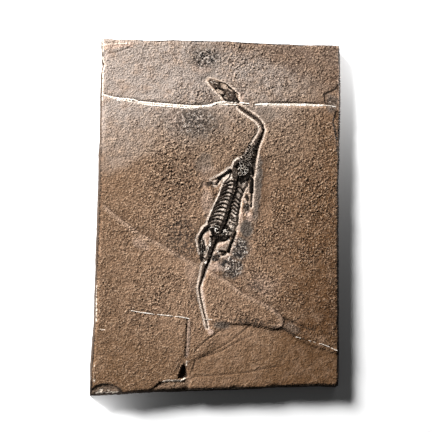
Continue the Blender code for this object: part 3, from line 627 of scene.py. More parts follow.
# how far the pale scraped edge reaches on the wider side, with painted light over the shade of that side's
# trough wall
WEST_PALE_AND_LIFT = WEST * np.interp(Y, [-60, -45, -20, -5, 50, 56, 62, 92, 98],
                             [0.3, 0.3, 0.2, 0.8, 0.8, 0.3, 0.5, 0.4, 0.2])
WEST_PALE_AND_LIFT = WEST_PALE_AND_LIFT * (1 - 0.9 * blob(-6.5, 26.0, 7.0, 6.5))
PALE = strongest(
    [(0.6, -9.0, 2.0, 5.5, 22.0, 14), (0.25, -9.0, 33.0, 9.0, 8.0), (1.0, 24.8, -2.0, 2.8, 4.4, 14),
     (0.95, 18.2, -1.6, 1.2, 6.2), (0.9, 2.4, -27.6, 4.0, 3.6), (0.8, -13.4, -20.0, 2.4, 3.2),
     (0.6, 17.6, 102.8, 3.2, 4.6), (0.9, -2.0, -46.5, 8.0, 4.0), (0.28, -24.0, -54.0, 6.0, 13.0, 8),
     (0.6, -14.0, -20.0, 5.0, 7.0, 20), (1.0, -8.6, -101.2, 2.4, 2.2, 0, 0.4),
     (0.4, -68.0, -28.0, 8.0, 4.0, -32), (0.35, 36.0, -62.0, 12.0, 10.0, -35, 0.9),
     (0.4, -38.0, 80.0, 7.0, 10.0, 30), (0.3, -18.0, 128.0, 8.0, 6.0)],
    stroke([(-16.4, -60.0), (-15.6, -72.0), (-14.2, -82.0), (-12.4, -90.0)], 1.4) * 0.75,
    stroke([(15.4, -12.0), (13.6, -20.0), (11.4, -27.0), (8.4, -33.0), (4.4, -38.6)], 1.7) * 0.6,
    stroke(GREY_BAND, 1.2) * 0.5,
    (0.34 + 0.2 * RAGGED) * fall(np.abs(RIDGE_OFF + 1.2), 0.3, 2.4),
    stroke([(-104.0, 141.4), (-92.0, 143.6), (-79.0, 145.2)], 2.2) * 0.9)
WHITE = strongest(
    [],
    stroke([(-48.8, -142.2), (-43.0, -141.6), (-32.9, -141.6), (-30.0, -139.6)], 0.7),
    stroke([(-52.1, -150.4), (-42.1, -150.2)], 0.9),
    stroke([(-104.0, -151.4), (-95.0, -151.2), (-86.0, -150.6)], 0.8) * 0.9,
    fall(from_left + 0.5 * RAGGED, 0.7, 1.7) * rise(Y, 88.0, 100.0) * 0.8,
    stroke([(-29.6, -125.0), (-28.9, -129.4)], 0.4),
    stroke([(-28.8, -125.5), (-27.2, -125.8)], 0.4),
    stroke([(-101.5, -99.5), (-97.5, -99.5)], 0.4),
    stroke([(-102.0, 144.0), (-90.0, 145.4), (-80.0, 146.4)], 0.6) * 0.8,
    fall(from_left + 0.5 * RAGGED, 0.5, 1.1) * rise(Y, -97.0, -92.0) * fall(Y, -64.0, -58.0) * 0.8,
    fall(np.abs(from_left - 2.0 + RAGGED), 0.3, 0.9) * fall(Y, -131.0, -122.0) * rise(Y, -147, -142) * 0.6,
    fall(np.abs(SHELL - 0.42), 0.08, 0.18) * rise(RAGGED, -0.3, 0.2))
print("grey covers", round(float(GREY.mean()) * 100), "% of the grid")

# %% Black rims and stains, painted edge shade, calm places and the film of crushed bone
# The first mask blackens rims and cracks, and paints shade along the right and bottom edges and in the hole.
# SMOOTH calms the pebbly grain, FILM is crushed bone on the trough's floor, and INNER the inside of the
# body's and the skull's outlines.
SOOT_AND_SHADE = strongest(
    [(1.0, 9.9, -4.6, 2.1, 1.5), (0.9, 11.0, -9.4, 1.7, 1.6), (0.9, 8.0, -8.2, 1.5, 1.5),
     (0.9, 8.0, -2.2, 1.7, 1.4), (0.8, 9.4, -12.4, 1.4, 1.2)],
    # painted shade on the rolled-off right edge and in the hole in the rock
    fall(from_right + 0.5 * RAGGED, 1.1, 2.8),
    0.8 * fall(outline_reach(HOLE, X, Y), -0.8, 0.6),
    0.9 * fall(from_top + RAGGED, 0.3, 1.7) * rise(X, -84.0, -60.0),
    0.6 * fall(from_left + 1.2 * RAGGED, 0.8, 3.2) * rise(Y, -66.0, -40.0) * fall(Y, 50.0, 90.0),
    0.8 * fall(from_left + RAGGED, 0.3, 1.5) * fall(Y, -110.0, -96.0),
    # painted shade along the bottom edge
    0.9 * fall(from_bottom + 0.8 * RAGGED, 0.4, 1.6),
    stroke(LEFT_CRACK, 1.0, 0.8) * 0.50,
    stroke(TOP_CRACK, 0.8) * 0.95,
    stroke(EDGE_CRACK, 0.9) * 0.9,
    stroke(CHIP_CRACK, 0.8) * 0.9,
    fall(np.abs(SHELL + 0.1 * RAGGED - 0.98), 0.02, 0.15) * 0.8,
    fall(np.abs(SHELL + 0.2 * RAGGED - 0.62), 0.02, 0.16) * 0.45,
    fall(np.abs(LEDGE_OFF - 1.2), 0.8, 2.2) * rise(X, 8.0, 22.0) * fall(X, 66.0, 86.0) * 0.6,
    stroke(FOLD, 1.3, 0.9) * 0.55,
    stroke(RIDGE[-5:], 1.4, 0.8) * 0.35,
    0.35 * stroke(CORNER_CRACK, 1.2, 0.8))
SMOOTH = np.clip(strongest(
    [(0.45, -75.0, 115.0, 45.0, 45.0, 0, 0.9), (0.8, 40.0, 87.0, 11.0, 10.0),
     (0.75, 38.0, 22.0, 5.5, 36.0, 4)],
    0.88 * LOW_BED,
    GREY * 0.3 - DARK * 0.3,
    *[0.9 * stroke(line, 2.4) for line in MAIN_VEINS],
    0.8 * fall(NEAR, 1.0, 3.4),
    0.55 * fall(NEAR, 2.0, 8.0) * rise(-X, -12.0, 0.0),
    0.30 * fall(np.abs(RIDGE_OFF + 8.0), 4.0, 10.0),
    0.7 * fall(FAN_REACH, 0.0, 2.0),
    0.60 * fall(X, -94.0, -46.0) * rise(Y, -140.0, 60.0),
    0.45 * fall(Y, -112.0, -88.0)), 0.0, 1.0)
FILM = fall(NEAR, -0.1, 0.5) * strongest(
    [(1.0, 20.4, 39.0, 7.5, 10.0, -15), (1.0, 14.9, 40.0, 4.2, 8.6), (1.0, 27.6, 51.0, 6.0, 12.0, -25),
     (0.6, 29.8, 42.0, 1.3, 9.0, -4), (0.34, 6.6, 12.5, 1.4, 6.5, -17), (0.33, 1.6, -6.0, 1.5, 3.5, -15),
     (0.5, -2.6, 12.0, 2.0, 6.0, -28), (0.55, 17.4, 24.6, 2.2, 2.2), (0.62, -17.2, -30.5, 3.2, 8.5, 8),
     (1.0, -1.5, -16.0, 8.0, 8.5, 10), (0.40, 19.0, 22.0, 3.6, 6.0, -20), (0.8, 10.0, -5.4, 1.4, 1.1),
     (0.75, 10.6, -9.2, 1.2, 1.0), (0.6, 7.2, -3.2, 1.3, 0.9), (0.45, -8.4, -3.4, 2.6, 7.0, 16),
     (0.42, 13.6, 14.0, 1.8, 9.0, -16)],
    fall(np.abs(offset_from(TRUNK, X, Y)), 1.6, 3.4),
    0.65 * fall(np.abs(BODY_REACH + 0.8), 0.4, 1.3),
    0.85 * fall(np.abs(BODY_REACH + 1.4), 0.7, 1.7) * WEST * fall(Y, 22.0, 27.0),
    fall(reach_from(TAIL, TAIL_HALF_WIDTHS, X, Y), -0.9, 0.1))
INNER = np.maximum(fall(BODY_REACH, -1.2, 0.2), 0.3 * fall(SKULL_REACH, -1.2, -0.2))
print("the film covers", round(float((FILM > 0.5).mean()) * 100, 1), "% of the grid")

# %% Add the relief to the heights
def blurred(grid, times=1):
    """Each height shared with its neighbours, so that walls and steps look worn."""
    for _ in range(times):
        wide = np.pad(grid, 1, mode="edge")
        grid = (4 * grid + 2 * (wide[:-2, 1:-1] + wide[2:, 1:-1] + wide[1:-1, :-2] + wide[1:-1, 2:])
                + wide[:-2, :-2] + wide[:-2, 2:] + wide[2:, :-2] + wide[2:, 2:]) / 16
    return grid


def pebbles():
    """Rounded grains: how far each point is from the nearest grain's middle."""
    def one(x, y):
        near, _ = noise.voronoi(Vector((x / 1.8, y / 1.8, 0.7)))
        return 1.0 - min(near[0], 1.0)
    return np.array([[one(x, y) for x, y in row] for row in plan])


TROUGH_DEPTH = 0.60
HIGHEST = 12.9
# the trough and the corner's chip are made again below, finer than the CAD slab has them
face = np.where((Z < 10.9) & (NEAR < 14.0) | (X < -76.0) & (Y < -134.0), SLAB_TOP, Z)
fading = fall(np.abs(offset_from(FADING_STEP, X, Y)), 5.0, 11.0)
face = face + (blurred(face, 40) - face) * fading
wander = NEAR + 0.35 * RAGGED
scraped = TROUGH_DEPTH * fall(wander, 0.2, 3.2 + 3.2 * WEST) * (1 - 0.45 * fall(SKULL_REACH, -2.0, 1.0))
scraped = scraped * (1 - 0.42 * fall(BODY_REACH, -2.4, -0.6) * fall(Y, 26.0, 31.0))
scraped = np.maximum(scraped, 0.40 * fall(FAN_REACH + 0.35 * RAGGED, -0.4, 2.2))
PITTED = np.clip(1.0 - SMOOTH, 0.0, 1.0) * (0.80 + 0.55 * np.clip(BROAD + RAGGED * 0.8, -1, 1)
                                           + 0.55 * blob(-42.0, 18.0, 18.0, 44.0, 0, 0.9)
                                           + 0.32 * blob(72.0, 22.0, 36.0, 56.0, 0, 0.9))
GRAINS = 0.6 * (pebbles() - 0.55) + 0.85 * field(1.35, 2.9, 2) + 0.35 * field(0.85, 5.5)
relief = (0.66 + 0.10 * rise(Y, -10.0, 30.0)) * GRAINS * (0.14 + 0.86 * PITTED)
relief = relief + 0.18 * field(9.0, 8.1, 2) * (1 - LOW_BED)
beyond = np.clip(RIDGE_OFF, 0.0, None)
relief -= 0.55 * rise(RIDGE_OFF, -0.3, 1.1) * np.exp(-beyond / 6.0)
relief += 0.14 * np.exp(-((RIDGE_OFF + 0.6) / 0.7) ** 2)
relief -= 0.45 * np.exp(-(CRACK_OFF / 0.55) ** 2) + 0.5 * stroke(LEFT_CRACK, 1.0)
relief += 0.18 * np.exp(-((LEDGE_OFF - 0.8) / 0.8) ** 2) * (Y < -85) * (X > 4)
relief -= 2.6 * fall(outline_reach(HOLE, X, Y), -1.2, 0.5)
relief -= (0.9 - 0.5 * RAGGED) * fall(outline_reach(CHIP, X, Y), -0.7, 0.3)
relief -= (1.3 + 0.22 * np.sin(SHELL * 20)) * fall(SHELL, 0.88, 1.05) * (1.2 - 0.5 * SHELL)
relief -= 0.5 * stroke(FOLD, 1.2, 1.0) + 0.35 * fall(from_left + RAGGED, 0.2, 2.0) * (Y < 90)
relief -= 0.9 * fall(from_right + 0.5 * RAGGED, 0.2, 2.2)
relief -= 0.7 * fall(from_bottom + 0.8 * RAGGED, 0.1, 1.6) + 0.4 * fall(from_top + RAGGED, 0.1, 1.4)
TOP = np.minimum(blurred(face, 2) - blurred(scraped, 2) + relief, HIGHEST)
print("relief adds", round(float((TOP - Z).min()), 2), "to", round(float((TOP - Z).max()), 2), "mm")

# %% Build the slab: the fitted grid, then its sides drawn down in beds
SIDE_LEVELS = [10.2, 9.3, 8.5, 7.4, 6.6, 5.3, 4.1, 2.9, 1.6, 0.6, 0.0]
BED_INSETS = [0.10, 0.32, 0.08, 0.36, 0.14, 0.05, 0.38, 0.12, 0.30, 0.10, 0.35]


def ring_at(height, inset, seed):
    """The points of one level of the side wall, in the same order as the grid's rim."""
    sides = outline_at(min(max(height, 0.05), WHOLE_BELOW))
    rows = [along(sides[0], ACROSS)[:-1], along(sides[1], UP)[:-1],
            along(sides[2], 1 - ACROSS[::-1])[:-1], along(sides[3], 1 - UP[::-1])[:-1]]
    ring = np.concatenate(rows)
    ahead = np.roll(ring, -2, axis=0) - np.roll(ring, 2, axis=0)
    ahead /= np.linalg.norm(ahead, axis=1)[:, None]
    inward = np.stack([-ahead[:, 1], ahead[:, 0]], axis=-1)
    rough = np.array([noise.noise(Vector((p[0] / 3.1, p[1] / 3.1, seed))) for p in ring])
    chips = np.array([noise.noise(Vector((p[0] / 9.0, p[1] / 9.0, seed * 0.37))) for p in ring])
    depth = np.clip(inset + 0.22 * rough + 0.30 * np.clip(chips, 0, 1), 0.02, 1.2)
    return ring + inward * depth[:, None]


def rim_vertices(verts):
    """The grid's outer vertices, anticlockwise from the lower left."""
    last_row, last_col = len(UP) - 1, len(ACROSS) - 1
    order = [verts[0][i] for i in range(last_col)]
    order += [verts[j][last_col] for j in range(last_row)]
    order += [verts[last_row][i] for i in range(last_col, 0, -1)]
    order += [verts[j][0] for j in range(last_row, 0, -1)]
    return order


def build_slab_mesh():
    bm = bmesh.new()
    bmesh.ops.create_grid(bm, x_segments=len(ACROSS) - 1, y_segments=len(UP) - 1, size=1.0)
    verts = [[None] * len(ACROSS) for _ in UP]
    for vert in bm.verts:
        i = round((vert.co.x + 1) / 2 * (len(ACROSS) - 1))
        j = round((vert.co.y + 1) / 2 * (len(UP) - 1))
        verts[j][i] = vert
        vert.co = (X[j, i] * MM, Y[j, i] * MM, TOP[j, i] * MM)
    order = rim_vertices(verts)
    tops = [v.co.z / MM for v in order]
    for number, (height, inset) in enumerate(zip(SIDE_LEVELS, BED_INSETS)):
        edges = [bm.edges.get((order[k - 1], order[k])) for k in range(len(order))]
        grown = bmesh.ops.extrude_edge_only(bm, edges=edges)["geom"]
        fresh = {v for v in grown if isinstance(v, bmesh.types.BMVert)}
        order = [next(e.other_vert(v) for e in v.link_edges if e.other_vert(v) in fresh) for v in order]
        for vert, top, (x, y) in zip(order, tops, ring_at(height, inset, 20.0 + number * 1.7)):
            vert.co = (x * MM, y * MM, height * MM * min(1.0, top / TOP_EDGE_Z))
    edges = [bm.edges.get((order[k - 1], order[k])) for k in range(len(order))]
    bmesh.ops.edgeloop_fill(bm, edges=edges)
    bmesh.ops.recalc_face_normals(bm, faces=bm.faces)
    return bm


slab_bm = build_slab_mesh()
print("slab:", len(slab_bm.verts), "points,", len(slab_bm.faces), "faces")

# %% Hand a finished mesh over as a piece of the object
def finish_piece(bm, name, material, stands_for=(), sharp=40.0, recalculate=True):
    """Makes the object, shades it, lets it ride and hides the CAD solids it stands for."""
    if recalculate:
        bmesh.ops.recalc_face_normals(bm, faces=bm.faces)
    mesh = bpy.data.meshes.new(name)
    bm.to_mesh(mesh)
    bm.free()
    mesh.shade_smooth()
    mesh.set_sharp_from_angle(angle=math.radians(sharp))
    mesh.materials.append(material)
    piece = bpy.data.objects.new(name, mesh)
    bpy.context.scene.collection.objects.link(piece)
    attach(piece, "root")
    if stands_for:
        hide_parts(*stands_for)
    print(name, "has", sum(len(p.vertices) - 2 for p in mesh.polygons), "triangles")
    return piece


def store(piece, name, values):
    attribute = piece.data.attributes.new(name, "FLOAT", "POINT")
    attribute.data.foreach_set("value", np.asarray(values, dtype=np.float32))


# %% [markdown]
# ## Shale
# The shale is paler and greyer towards the upper left and darker and browner towards the lower right.
# Its colour follows position, stains and the distance to the scraped edge; its grain is a bump of
# rounded cells with fine grit over them. Broken sides show the bed's thin layers.

# %% The shale's material: its noises, its masks and its zones of colour
shale, shale_shader, place, read = new_material("shale")
px = place.add("ShaderNodeSeparateXYZ", None, {0: place})
py = Wire(place.tree, px.socket.node.outputs[1])
mottle = place.noise(34.0, 5.0, 0.55)
patch = place.noise(110.0, 4.0, 0.6)
blotch = place.noise(230.0, 3.0, 0.6, 0.4)
grains = place.noise(430.0, 4.0, 0.72, 0.5)
speck = place.noise(760.0, 2.0, 0.55, 0.3)
clump = (place.noise(150.0, 3.0, 0.6) * 2.6 - 0.8).clamped()
grit = place.noise(1700.0, 2.0, 0.6)
pitted = read("pitted")
grey = read("grey")
pale = read("pale")
near = read("near")
film = read("film")
crack_off = read("crack")
side = read("side")
relief_height = read("relief")

drift = (mottle - 0.5) * 0.5
top_left = (py * 7.0 - px * 2.2 + drift).ramp(0.38, 0.86)
top_right = (py * 10.0 + px * 4.0 + drift * 0.6).ramp(1.38, 1.66)
middle = (abs(px + 0.005) * 10.0 + drift).fade(0.25, 0.90) * (py * 10.0).fade(-0.1, 0.7)
right = (px * 5.0 - py * 1.6 + drift * 2.0).ramp(-0.30, 0.90)
corner = (px * 6.0 - py * 4.0 + drift).ramp(0.45, 1.08)
foot = (py * 10.0 + drift).fade(-1.25, -0.85)
upper = (py * 10.0 + drift).ramp(0.2, 0.8) * (px * 10.0).fade(0.6, 1.0)
band = (1.0 - abs(px + py * 0.1 - 0.040) * 110.0).clamped() * (py * 60.0).ramp(0.0, 1.0)
band = band * (py * 60.0).fade(3.2, 4.2)
ridge = read("ridge")
under = abs(ridge + 2.2 + drift * 4.0).fade(0.6, 3.2)
beyond = (ridge + drift * 3.0).ramp(0.2, 1.0) * (ridge + drift * 5.0).fade(1.5, 7.0)
rock = layered(
    right.mix((0.152, 0.089, 0.051), (0.140, 0.070, 0.030)),
    ((middle * 0.8).clamped(), (0.255, 0.158, 0.100)),
    (corner, (0.076, 0.034, 0.012)),
    (foot * 0.65, (0.118, 0.062, 0.028)),
    (upper * 0.6, (0.270, 0.198, 0.148)),
    (top_left, (0.290, 0.240, 0.208)),
    (top_right * 0.75, (0.118, 0.066, 0.038)),
    (((patch - 0.46) * 2.0).clamped(), (0.235, 0.146, 0.093)),
    (band * 0.75, (0.074, 0.038, 0.019)),
    ((grey * (0.45 + 0.7 * patch)).clamped(), (0.118, 0.094, 0.076)),
    (((grey - 0.9) * 1.3).clamped(), (0.062, 0.052, 0.043)),
    ((pale * 0.9).clamped(), (0.425, 0.303, 0.238)),
    (under * 0.40, (0.345, 0.232, 0.158)),
    (beyond * 0.42, (0.078, 0.044, 0.025)))
print("zones of colour:", len(shale.node_tree.nodes), "nodes")

# %% The shale's hollows, crowns, dots and flecks: grit and grains with painted shade and highlights
cavity = relief_height * 1.6 + (grains - 0.5) * 2.4 + (blotch - 0.5) * 1.0
pit_grit_and_shade = cavity.fade(-0.70, 0.0) * pitted
crown = cavity.ramp(0.15, 0.9) * (0.30 + 0.70 * pitted)
dark_dots_and_shade = ((0.480 - speck + (0.5 - grains) * 0.25) * 12.0).clamped() * (0.28 + 0.90 * pitted * clump).clamped()
pale_flecks_and_glints = ((speck - 0.560) * 8.0).clamped() * (0.35 + 0.65 * pitted)
# dark grit and painted shade in the pits, pale grains and painted highlights on the crests
rock = layered(
    rock,
    ((pit_grit_and_shade * 0.62).clamped(), (0.044, 0.022, 0.012)),
    ((crown * 0.45 * (1.0 - grey * 0.5) * (1.0 - corner * 0.5)).clamped(), (0.51, 0.355, 0.235)),
    (dark_dots_and_shade * 0.90, (0.026, 0.013, 0.007)),
    ((pale_flecks_and_glints * 0.60 * (1.0 - grey * 0.4) * (1.0 - corner * 0.5)).clamped(), (0.58, 0.425, 0.300)))
print("grains of colour:", len(shale.node_tree.nodes), "nodes")

# %% The scraped floor, its pale edge, the broken sides and the cracks
rag = (grains - 0.5) * 1.8 + (blotch - 0.5) * 1.2
floor_tone = ((blotch - 0.35) * 2.0).clamped().mix((0.18, 0.118, 0.078), (0.36, 0.260, 0.188))
inner_tone = ((grains - 0.40) * 4.5).clamped().mix((0.20, 0.150, 0.115), (0.62, 0.530, 0.450))
# on the wider side the floor and the pale edge get paler: partly scraped rock, partly painted light over the
# trough wall's shade
floor_tone = layered(
    floor_tone,
    ((read("west") * 1.2).clamped(), (0.50, 0.395, 0.315)),
    (read("inner"), inner_tone),
    ((film + (grains - 0.5) * 1.6).ramp(0.22, 0.66), (0.016, 0.011, 0.008)))
halo = (near + rag * 0.5 + read("west") * 0.5).ramp(0.1, 0.8) * (near + rag * 1.3).fade(1.2, 2.3)
halo_tone = read("west").mix((0.48, 0.380, 0.305), (0.68, 0.570, 0.480))
dark = read("dark")
splash = place.noise(620.0, 2.0, 0.6)
layers = place.add("ShaderNodeMapping", None, {"Vector": place, "Scale": (60.0, 60.0, 1400.0)})
layer_tone = layers.noise(1.0, 4.0, 0.6)
# broken sides: dark thin layers, partly painted shade; the right and bottom walls are painted near black as
# shade
side_layers_and_shade = ((layer_tone - 0.4) * 3.0).clamped().mix((0.030, 0.020, 0.014), (0.13, 0.088, 0.062))
shaded = px.math("MAXIMUM", (px * 10.0).ramp(0.94, 1.02), (py * 10.0).fade(-1.50, -1.44))
side_layers_and_shade = (shaded * 0.75).mix(side_layers_and_shade, (0.012, 0.008, 0.006))
crack_line = (abs(crack_off) + (grit - 0.5) * 0.8).fade(0.05, 0.50)
ridge_line = (abs(ridge - 0.35 + drift) + (grit - 0.5) * 0.9).fade(0.15, 0.75)
rock = layered(
    rock,
    ((near + rag * 0.5).fade(0.2, 0.9), floor_tone),
    ((halo * 0.90).clamped(), halo_tone),
    ((((splash - 0.462) * 13.0).clamped() * dark * 1.05).clamped(), (0.014, 0.012, 0.011)),
    (((0.425 - splash) * 14.0).clamped() * (dark * grey * 1.2).clamped(), (0.44, 0.390, 0.345)),
    (side, side_layers_and_shade),
    ((read("white") + (grains - 0.5) * 1.4).ramp(0.35, 0.75), (0.66, 0.56, 0.46)),
    # black rims and cracks, with painted shade on the right and bottom edges and in the hole
    ((read("soot") + (speck - 0.5) * 1.8).ramp(0.30, 0.75), (0.018, 0.012, 0.008)),
    ((crack_line * 0.72).clamped(), (0.030, 0.016, 0.010)),
    ((ridge_line * (blotch * 2.2 - 0.35).clamped() * 0.85).clamped(), (0.040, 0.022, 0.013)))
plug(shale_shader, "Base Color", rock)
plug(shale_shader, "Roughness", 0.90 - 0.12 * grey)
shale_shader.inputs["Specular IOR Level"].default_value = 0.12
rough = 0.25 + 0.45 * pitted + 0.35 * clump
bump(shale_shader, [(rough * grains, 0.85), (rough * speck, 1.7), (grit, 0.15), (side * layer_tone, 0.5)])
print("shale:", len(shale.node_tree.nodes), "nodes")

# %% Finish the slab
slab = finish_piece(slab_bm, "slab_rock", shale, ["slab"], sharp=75.0, recalculate=False)
top_count = X.size
total = len(slab.data.vertices)
TOP_VALUES = {"pitted": PITTED, "grey": GREY, "soot": SOOT_AND_SHADE, "white": WHITE, "dark": DARK, "pale": PALE,
              "west": WEST_PALE_AND_LIFT, "film": FILM, "inner": INNER, "near": np.minimum(NEAR, 12.0),
              "relief": GRAINS, "crack": CRACK_OFF, "ridge": np.clip(RIDGE_OFF, -9.0, 9.0)}
SIDE_VALUES = {"pitted": 0.4, "near": 12.0, "crack": 9.0, "ridge": 9.0}
for name, grid in TOP_VALUES.items():
    below = np.full(total - top_count, SIDE_VALUES.get(name, 0.0))
    store(slab, name, np.concatenate([grid.ravel(), below]))
side_share = np.zeros(X.shape)
side_share[0, :] = side_share[-1, :] = side_share[:, 0] = side_share[:, -1] = 0.6
store(slab, "side", np.concatenate([side_share.ravel(), np.ones(total - top_count)]))

# %% [markdown]
# ## Drawing a bone
# A long bone, a rib or a vein is one round section drawn along a line, wider here and flatter there.
# The section starts as a circle; each station extrudes its edge loop and moves the new loop on, and
# short closing stations round the two ends.

# %% The section drawn along a line
def section_matrix(centre, heading, wide, high):
    forward = heading.normalized()
    across = Vector((-forward.y, forward.x, 0.0)).normalized()
    rise = forward.cross(across)
    rows = Matrix((across * wide, -rise * high, forward)).transposed().to_4x4()
    return Matrix.Translation(centre) @ rows


def draw_section(bm, stations, sides=10):
    """Adds a closed solid through (centre, half width, half height) stations, in mm."""
    centres = [s[0] for s in stations]
    made = bmesh.ops.create_circle(bm, segments=sides, radius=1.0, cap_ends=False)["verts"]
    edges = list(dict.fromkeys(e for v in made for e in v.link_edges))
    current = Matrix.Identity(4)
    first_edges = edges
    verts = made
    for i, (centre, wide, high) in enumerate(stations):
        heading = centres[min(i + 1, len(centres) - 1)] - centres[max(i - 1, 0)]
        goal = section_matrix(centre * MM, heading, wide * MM, high * MM)
        if i > 0:
            grown = bmesh.ops.extrude_edge_only(bm, edges=edges)["geom"]
            verts = [g for g in grown if isinstance(g, bmesh.types.BMVert)]
            edges = [g for g in grown if isinstance(g, bmesh.types.BMEdge)]
        bmesh.ops.transform(bm, matrix=goal @ current.inverted(), verts=verts)
        current = goal
    bmesh.ops.edgeloop_fill(bm, edges=first_edges)
    bmesh.ops.edgeloop_fill(bm, edges=edges)


def rounded(centres, wides, highs):
    """Stations with two closing ones at each end, so that the ends are round."""
    stations = list(zip(centres, wides, highs))
    for end, inner in ((0, 1), (-1, -2)):
        out = (centres[end] - centres[inner]).normalized()
        reach = min(wides[end], highs[end])
        extra = [(centres[end] + out * reach * 0.45, wides[end] * 0.78, highs[end] * 0.78),
                 (centres[end] + out * reach * 0.75, wides[end] * 0.30, highs[end] * 0.30)]
        stations = extra[::-1] + stations if end == 0 else stations + extra
    return stations


BED = 10.7


def add_bone(bm, points, wides, flat=0.75, spacing=1.2, sides=10, lift=0.0, rough=0.06, seed=1.0):
    """A bone lying on the bed along the points, its half widths given at each of them."""
    centres, widths, heights = [], [], []
    for u, p in smooth_line(points, spacing):
        ripple = 1.0 + rough * noise.noise(Vector((p.x * 0.8, p.y * 0.8, seed)))
        wide = value_at(wides, u) * ripple
        centres.append(Vector((p.x, p.y, BED + lift + wide * flat)))
        widths.append(wide)
        heights.append(wide * flat)
    draw_section(bm, rounded(centres, widths, heights), sides)


print("sections ready")

# %% [markdown]
# ## Fossil bone
# The bones are mineralised and nearly black, with a dull shine on their crowns and rusty brown where
# the surface has flaked; the light flecks on the flakes are partly painted highlights. Fine pits and
# fibres run through them.

# %% The bone's material
bone, bone_shader, place, read = new_material("fossil_bone")
thin = read("thin")
flakes_and_glints = place.noise(620.0, 3.0, 0.62)
stain = place.noise(140.0, 3.0, 0.6)
pits = place.noise(1500.0, 2.0, 0.65)
tone = ((stain - 0.35) * 1.8).clamped().mix((0.0028, 0.0022, 0.0020), (0.014, 0.0104, 0.0080))
# light brown flecks: flaked bone and painted highlights
tone = ((flakes_and_glints - 0.575) * 8.0).clamped().mix(tone, (0.150, 0.112, 0.084))
worn = ((flakes_and_glints - 0.42) * 3.0).clamped().mix((0.070, 0.048, 0.036), (0.27, 0.200, 0.150))
tone = (thin + (flakes_and_glints - 0.5) * 1.2 * thin).clamped().mix(tone, worn)
plug(bone_shader, "Base Color", tone)
plug(bone_shader, "Roughness", 0.55 + 0.30 * flakes_and_glints)
bone_shader.inputs["Specular IOR Level"].default_value = 0.025
bump(bone_shader, [(flakes_and_glints, 0.75), (pits, 0.2)])


def wear(piece, share):
    """How thin and brown the bone is: one number, or a function of x and y in mm."""
    values = [share(v.co.x / MM, v.co.y / MM) if callable(share) else share
              for v in piece.data.vertices]
    store(piece, "thin", values)


print("bone:", len(bone.node_tree.nodes), "nodes")

# %% [markdown]
# ## The vertebrae
# Each vertebra is a spool with a waist, a low spine on top and a process to either side. In life
# they lock together; here the string is pressed flat, so the spools touch and the processes splay.

# %% One vertebra, and the three strings
def add_vertebra(bm, centre, heading, half_width, length, reach, lean, crest=1.0):
    """reach is how far the side processes go out, in mm, and lean how far back their tips are."""
    forward = heading.normalized()
    across = Vector((-forward.y, forward.x, 0.0))
    body = min(half_width * 0.72, 1.5)
    high = min(body * 0.78, 0.85)
    z = Vector((0, 0, BED + max(high, 0.74)))
    spool = [(-0.45, 0.62), (-0.36, 0.98), (-0.16, 0.80), (0.14, 0.78), (0.36, 1.0), (0.45, 0.62)]
    draw_section(bm, [(centre + forward * length * t + z, body * w, high * (0.4 + 0.6 * w))
                      for t, w in spool], 10)
    ridge = [(-0.36, 0.12), (-0.20, 0.30), (0.10, 0.24), (0.26, 0.10)]
    top = z + Vector((0, 0, high * 0.80))
    draw_section(bm, [(centre + forward * length * t + top, body * w + 0.06, high * 0.46 * crest)
                      for t, w in ridge], 6)
    for side in (-1, 1):
        for along_by, out_by, thick in ((0.24, 1.0, 0.26), (-0.24, 0.86, 0.20)):
            start = centre + across * side * body * 0.5 + forward * length * along_by + z
            tip = (centre + across * side * reach * out_by + forward * length * (along_by - lean)
                   + z - Vector((0, 0, high * 0.30)))
            middle = start.lerp(tip, 0.5) + Vector((0, 0, high * 0.10))
            wide = max(0.18, half_width * thick * 0.7)
            draw_section(bm, [(start, wide * 1.3, wide), (middle, wide, wide * 0.8),
                              (tip, wide * 1.2, wide * 0.7)], 6)


def vertebra_string(name, points, half_widths, pitch, lean, wear_stops):
    """wear_stops: y, how worn and brown the bone is where two vertebrae meet there, and elsewhere."""
    bm = bmesh.new()
    samples = smooth_line(points, pitch)
    rng = random.Random(len(samples))
    for i, (u, p) in enumerate(samples):
        ahead = samples[min(i + 1, len(samples) - 1)][1] - samples[max(i - 1, 0)][1]
        turn = Matrix.Rotation(rng.uniform(-0.16, 0.16), 3, 'Z')
        wide = value_at(half_widths, u)
        length = pitch * rng.uniform(0.9, 1.02)
        reach = wide * rng.uniform(0.85, 1.12)
        add_vertebra(bm, p, turn @ ahead, wide, length, reach, value_at(lean, u), rng.uniform(0.4, 1.3))
    print(name, "has", len(samples), "vertebrae")
    piece = finish_piece(bm, name + "_bones", bone, [name + "_vertebrae"])
    middles = [p for _, p in samples]

    def joint_wear(x, y):
        away = min((Vector((x, y, 0.0)) - p).length for p in middles) / pitch
        stops, joint, base = zip(*wear_stops)
        return float(np.interp(y, stops, base)
                     + np.interp(y, stops, joint) * max(0.0, min(1.0, (away - 0.32) / 0.14)))

    wear(piece, joint_wear)


vertebra_string("neck", NECK, NECK_HALF_WIDTHS, 2.9, [0.1] * 5 + [0.2, 0.4, 0.6, 0.7, 0.7],
                [(62.0, 0.14, 0.0), (74.0, 0.55, 0.14), (95.0, 0.60, 0.18)])
vertebra_string("trunk", TRUNK, TRUNK_HALF_WIDTHS, 2.6, [0.2] * len(TRUNK),
                [(-20.0, 0.06, 0.0), (40.0, 0.06, 0.0)])
vertebra_string("tail", TAIL, TAIL_HALF_WIDTHS, 2.3, [0.4] * len(TAIL),
                [(-100.0, 0.45, 0.34), (-70.0, 0.45, 0.20), (-45.0, 0.34, 0.06), (-30.0, 0.3, 0.0)])

# %% [markdown]
# ## Ribs and belly ribs
# A Keichousaurus rib is thick for its length, swollen near its head and blunt at its tip. The belly
# ribs are fine rods that end along the two flanks, where they make one dark line a side.

# %% The ribs
spine = [p for _, p in smooth_line(TRUNK, 0.5)]


def flank_point(flank, y):
    """The point at a height y on a flank line."""
    points = sorted(FLANKS[flank], key=lambda p: p[1])
    return Vector((float(np.interp(y, [p[1] for p in points], [p[0] for p in points])), y, 0.0))


